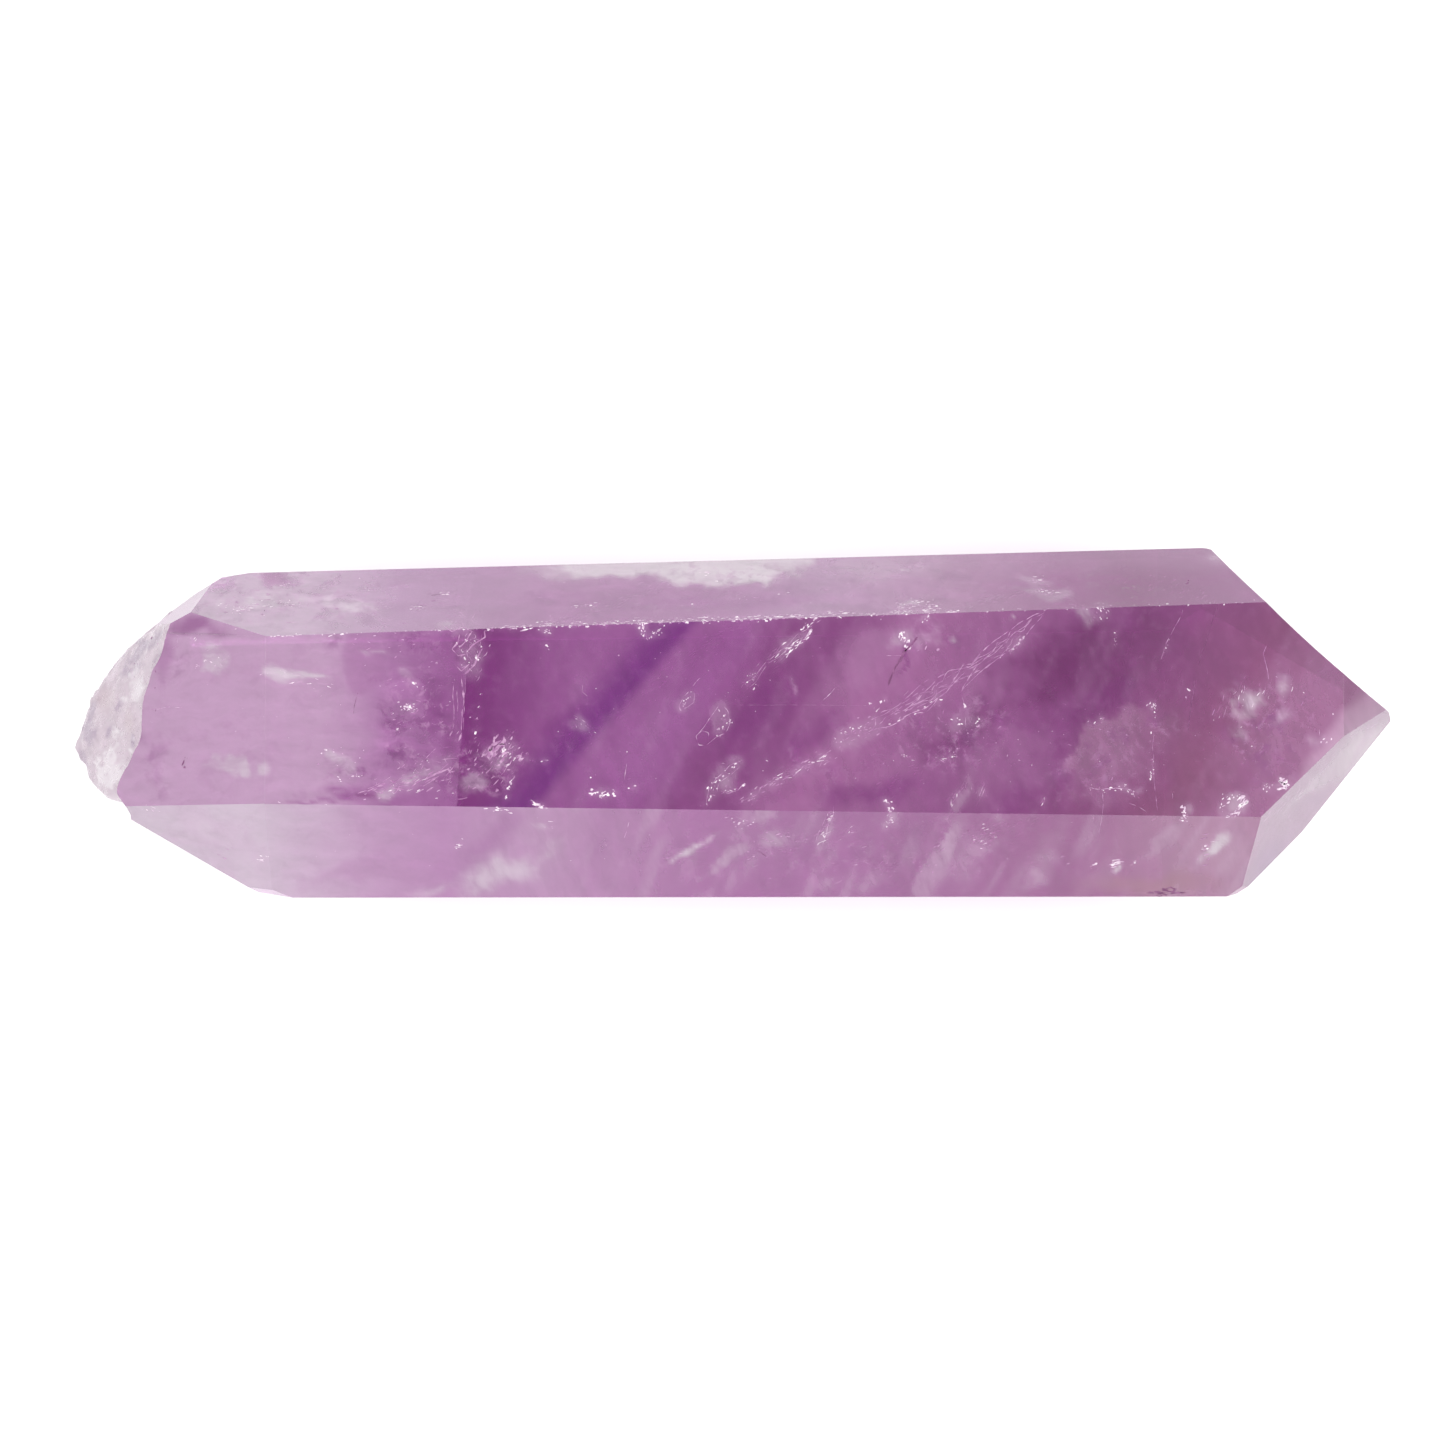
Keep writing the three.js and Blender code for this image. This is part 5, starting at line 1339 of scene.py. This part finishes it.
def break_material():
    material, tree, shader = new_material("frosty_break")
    stone = add_node(tree, "ShaderNodeVertexColor", layer_name="stone").outputs
    uneven = grain(tree, stone_place(tree)[0], 1.6, 4.0)[0]
    tree.links.new(stone["Color"], shader.inputs["Base Color"])
    tree.links.new(fade(tree, uneven, 0.35, 0.65, 0.18, 0.45), shader.inputs["Roughness"])
    shader.inputs["IOR"].default_value = QUARTZ_IOR
    shader.inputs["Transmission Weight"].default_value = 0.35
    add_absorption(tree)
    return material


# The flakes, threads and curls in the stone

INCLUSION_PLACES = []


def heading_on(normal, heading):
    """The direction on a facet that shows at the heading, in degrees, in the photograph."""
    angle = math.radians(heading)
    way = Vector((math.cos(angle), math.sin(angle), 0))
    return (way - normal * way.dot(normal)).normalized()


def along_line(line, share):
    """The pixel at a share of the way along a line of pixels, and the line's heading there."""
    points = [Vector(point) for point in line]
    lengths = [(end - start).length for start, end in zip(points, points[1:])]
    left = share * sum(lengths)
    for start, end, length in zip(points, points[1:], lengths):
        if left <= length or end is points[-1]:
            way = end - start
            at = start + way * min(left / max(length, 1e-6), 1)
            return at, math.degrees(math.atan2(-way.y, way.x))
        left -= length


def strewn(flakes, chance, under):
    """The place, turn and size of each flake of one group."""
    for _ in range(flakes.count):
        at, heading = along_line(flakes.along, chance.random())
        stray = flakes.spread * PIXELS_PER_MM
        at = at + Vector((chance.gauss(0, stray), chance.gauss(0, stray)))
        seen = seen_or_none(at, under)
        size = [length * chance.lognormvariate(-0.1, SIZE_STRAY) for length in flakes.size]
        heading = (heading if flakes.heading is None else flakes.heading) + chance.gauss(0, HEADING_STRAY)
        tilt = (chance.gauss(0, FLAKE_TILT), chance.gauss(0, FLAKE_TILT))
        depth = chance.uniform(0, flakes.deep) * MM
        if seen:
            place, normal = seen
            way = heading_on(normal, heading)
            facing = (normal + way * tilt[0] + normal.cross(way) * tilt[1]).normalized()
            turn = Matrix((way, facing.cross(way), facing)).transposed().to_euler()
            yield place - normal * depth, turn, Vector(size) * MM / 2


def flake_tree():
    """Puts a small closed faceted stone on each point, by the point's own turn and size."""
    tree = bpy.data.node_groups.new("strewn_flakes", "GeometryNodeTree")
    tree.interface.new_socket("Points", in_out="INPUT", socket_type="NodeSocketGeometry")
    for name in ("Unevenness", "Grain"):
        tree.interface.new_socket(name, in_out="INPUT", socket_type="NodeSocketFloat")
    tree.interface.new_socket("Finish", in_out="INPUT", socket_type="NodeSocketMaterial")
    tree.interface.new_socket("Flakes", in_out="OUTPUT", socket_type="NodeSocketGeometry")
    given, result = tree.nodes.new("NodeGroupInput").outputs, tree.nodes.new("NodeGroupOutput").inputs
    turn = add_node(tree, "GeometryNodeInputNamedAttribute", {"Name": "turn"}, data_type="FLOAT_VECTOR")
    size = add_node(tree, "GeometryNodeInputNamedAttribute", {"Name": "size"}, data_type="FLOAT_VECTOR")
    stone = add_node(tree, "GeometryNodeMeshIcoSphere", {"Radius": 1.0, "Subdivisions": 1}).outputs["Mesh"]
    rotation = add_node(tree, "FunctionNodeEulerToRotation", {0: turn.outputs["Attribute"]}).outputs[0]
    placed = add_node(tree, "GeometryNodeInstanceOnPoints", {
        "Points": given["Points"], "Instance": stone, "Rotation": rotation,
        "Scale": size.outputs["Attribute"],
    }).outputs["Instances"]
    realized = add_node(tree, "GeometryNodeRealizeInstances", {0: placed}).outputs[0]
    place = tree.nodes.new("GeometryNodeInputPosition").outputs[0]
    uneven = add_node(tree, "ShaderNodeTexNoise", {"Vector": place, "Scale": given["Grain"], "Detail": 1.0})
    push = vector_maths(tree, "SUBTRACT", uneven.outputs["Color"], (0.5, 0.5, 0.5))
    width = add_node(tree, "ShaderNodeSeparateXYZ", {0: size.outputs["Attribute"]}).outputs["Y"]
    reach = maths(tree, "MULTIPLY", width, given["Unevenness"])
    offset = add_node(
        tree, "ShaderNodeVectorMath", {0: push, "Scale": reach}, operation="SCALE").outputs[0]
    moved = add_node(tree, "GeometryNodeSetPosition", {"Geometry": realized, "Offset": offset}).outputs[0]
    finished = add_node(tree, "GeometryNodeSetMaterial", {"Geometry": moved, "Material": given["Finish"]})
    tree.links.new(finished.outputs[0], result["Flakes"])
    return tree


def points_mesh(name, strewn_flakes):
    places, turns, sizes = zip(*strewn_flakes)
    mesh = bpy.data.meshes.new(name)
    mesh.from_pydata(places, [], [])
    for attribute, values in (("turn", turns), ("size", sizes)):
        layer = mesh.attributes.new(attribute, "FLOAT_VECTOR", "POINT")
        layer.data.foreach_set("vector", [number for value in values for number in value])
    return mesh


def add_flakes(name, groups, finish, tree, under=False, milky=True):
    chance = random.Random(FLAKE_SEED + len(name))
    found = [flake for group in groups.values() for flake in strewn(group, chance, under)]
    if milky:
        INCLUSION_PLACES.extend(place for place, turn, size in found)
    points = link(bpy.data.objects.new(name + "_points", points_mesh(name + "_points", found)))
    modifier = points.modifiers.new("strewn_flakes", "NODES")
    modifier.node_group = tree
    settings = {"Unevenness": FLAKE_UNEVENNESS, "Grain": FLAKE_GRAIN, "Finish": finish}
    for item in tree.interface.items_tree:
        if item.name in settings:
            modifier[item.identifier] = settings[item.name]
    depsgraph = bpy.context.evaluated_depsgraph_get()
    mesh = bpy.data.meshes.new_from_object(points.evaluated_get(depsgraph))
    bpy.data.objects.remove(points)
    add_inclusion(name, mesh)


def ground_flush(mesh):
    """What lies in the stone was ground with it, so nothing stands out from the polished faces."""
    for vertex in mesh.vertices:
        place, normal = SURFACE.find_nearest(vertex.co)[:2]
        if (vertex.co - place).dot(normal) > PROUD:
            vertex.co = place + normal * PROUD


def add_inclusion(name, mesh):
    mesh.name = name
    ground_flush(mesh)
    piece = link(bpy.data.objects.new(name, mesh))
    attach(piece, "root")


def thread_places(thread, chance, under):
    """Places every THREAD_STEP along a thread, strayed a little to either side."""
    length = sum(math.dist(start, end) for start, end in zip(thread.along, thread.along[1:]))
    steps = max(3, round(length / PIXELS_PER_MM / THREAD_STEP))
    start = Vector((chance.uniform(0, 100), chance.uniform(0, 100), 0))
    for step in range(steps + 1):
        at, heading = along_line(thread.along, step / steps)
        stray = moves_at(start + Vector((step * THREAD_STEP / WANDER_SIZE, 0, 0)))
        seen = seen_or_none(at + Vector(stray[:2]) * thread.wander * 2 * PIXELS_PER_MM, under)
        if seen:
            place, normal = seen
            yield place - normal * (thread.deep + thread.radius * 0.3) * MM, normal


def curl_places(curls, chance):
    """Places along one short curled line that starts in the oval."""
    turn, around, out = math.radians(curls.turn), chance.uniform(0, math.tau), math.sqrt(chance.random())
    x, y = curls.reach[0] * out * math.cos(around), curls.reach[1] * out * math.sin(around)
    start = (x * math.cos(turn) - y * math.sin(turn), x * math.sin(turn) + y * math.cos(turn))
    at = Vector(curls.at) + Vector((start[0], -start[1])) * PIXELS_PER_MM
    heading, bend = chance.uniform(0, math.tau), chance.gauss(0, CURL_BEND)
    for _ in range(max(4, round(curls.length * chance.uniform(0.5, 1.5) / THREAD_STEP))):
        seen = seen_or_none(at)
        if seen:
            yield seen[0] - seen[1] * curls.radius * 0.3 * MM, seen[1]
        at = at + Vector((math.cos(heading), math.sin(heading))) * THREAD_STEP * PIXELS_PER_MM
        bend += chance.gauss(0, CURL_BEND / 2)
        heading += bend * THREAD_STEP


def add_tube(shape, places, radius, beaded, chance):
    """A closed tube that thins out to a point at both ends and swells here and there."""
    places = list(places)
    if len(places) < 4:
        return
    start = Vector((chance.uniform(0, 100), 0, 0))
    rings = []
    for index in range(1, len(places) - 1):
        place, normal = places[index]
        way = (places[index + 1][0] - places[index - 1][0]).normalized()
        side = normal.cross(way).normalized()
        swell = 0.7 + beaded * noise.noise(start + Vector((index * THREAD_STEP / SWELL_SIZE, 0, 0)))
        ends = min(1, index / TAPER_STEPS, (len(places) - 1 - index) / TAPER_STEPS)
        reach = radius * MM * max(swell, 0.15) * ends
        ring = [
            shape.verts.new(place + (side * math.cos(angle) + way.cross(side) * math.sin(angle)) * reach)
            for angle in (math.tau * corner / THREAD_SIDES for corner in range(THREAD_SIDES))
        ]
        rings.append(ring)
    for ring, after in zip(rings, rings[1:]):
        for i in range(THREAD_SIDES):
            j = (i + 1) % THREAD_SIDES
            shape.faces.new((ring[i], ring[j], after[j], after[i]))
    close_tube(shape, rings[0], places[0][0], True)
    close_tube(shape, rings[-1], places[-1][0], False)


def close_tube(shape, ring, place, at_start):
    tip = shape.verts.new(place)
    for i in range(THREAD_SIDES):
        pair = (ring[i], ring[(i + 1) % THREAD_SIDES])
        shape.faces.new((tip, *(reversed(pair) if at_start else pair)))


def add_threads(name, threads, finish, curls=None, under=False):
    chance = random.Random(THREAD_SEED + len(name))
    shape = bmesh.new()
    for thread in threads.values():
        places = thread_places(thread, chance, under)
        add_tube(shape, places, thread.radius, thread.beaded, chance)
    for curled in (curls or {}).values():
        for _ in range(curled.count):
            places = list(curl_places(curled, chance))
            INCLUSION_PLACES.extend(place for place, normal in places[::2])
            add_tube(shape, places, curled.radius, CURLS_BEADED, chance)
    bmesh.ops.recalc_face_normals(shape, faces=shape.faces)
    mesh = bpy.data.meshes.new(name)
    shape.to_mesh(mesh)
    shape.free()
    mesh.materials.append(finish)
    add_inclusion(name, mesh)


def inclusion_material(name, dull, light, roughness):
    """A broken surface inside the stone, duller in some places than in others."""
    material, tree, shader = new_material(name)
    place = stone_place(tree)[0]
    uneven = grain(tree, place, INCLUSION_GRAIN, 3.0)[0]
    colour = blend(tree, fade(tree, uneven, 0.4, 0.66), (*dull, 1), (*light, 1))
    tree.links.new(colour, shader.inputs["Base Color"])
    tree.links.new(fade(tree, uneven, 0.3, 0.7, roughness + 0.2, roughness), shader.inputs["Roughness"])
    shader.inputs["Specular IOR Level"].default_value = 0.3
    return material


def add_inclusions():
    bright = inclusion_material("bright_break", (0.44, 0.31, 0.42), (0.74, 0.67, 0.72), 0.35)
    rosy = inclusion_material("rosy_veil", (0.26, 0.11, 0.24), (0.4, 0.23, 0.37), 0.4)
    pale = inclusion_material("pale_line", (0.28, 0.13, 0.26), (0.46, 0.31, 0.44), 0.4)
    dark = inclusion_material("dark_crack", (0.12, 0.035, 0.1), (0.2, 0.07, 0.17), 0.5)
    tree = flake_tree()
    add_flakes("bright_flakes", BRIGHT_FLAKES, bright, tree)
    add_flakes("rosy_flakes", ROSY_FLAKES, rosy, tree)
    add_flakes("pale_flakes", PALE_FLAKES, pale, tree, milky=False)
    add_flakes("dark_specks", DARK_FLAKES, dark, tree, milky=False)
    add_flakes("flakes_underneath", UNDER_FLAKES, bright, tree, under=True)
    add_threads("pale_threads", PALE_THREADS, pale, CURLS)
    add_threads("rosy_threads", ROSY_THREADS, rosy)
    add_threads("dark_cracks", DARK_THREADS, dark)
    add_threads("threads_underneath", UNDER_THREADS, rosy, under=True)


add_camera()
add_floor()
add_light()
add_inclusions()
add_crystal()
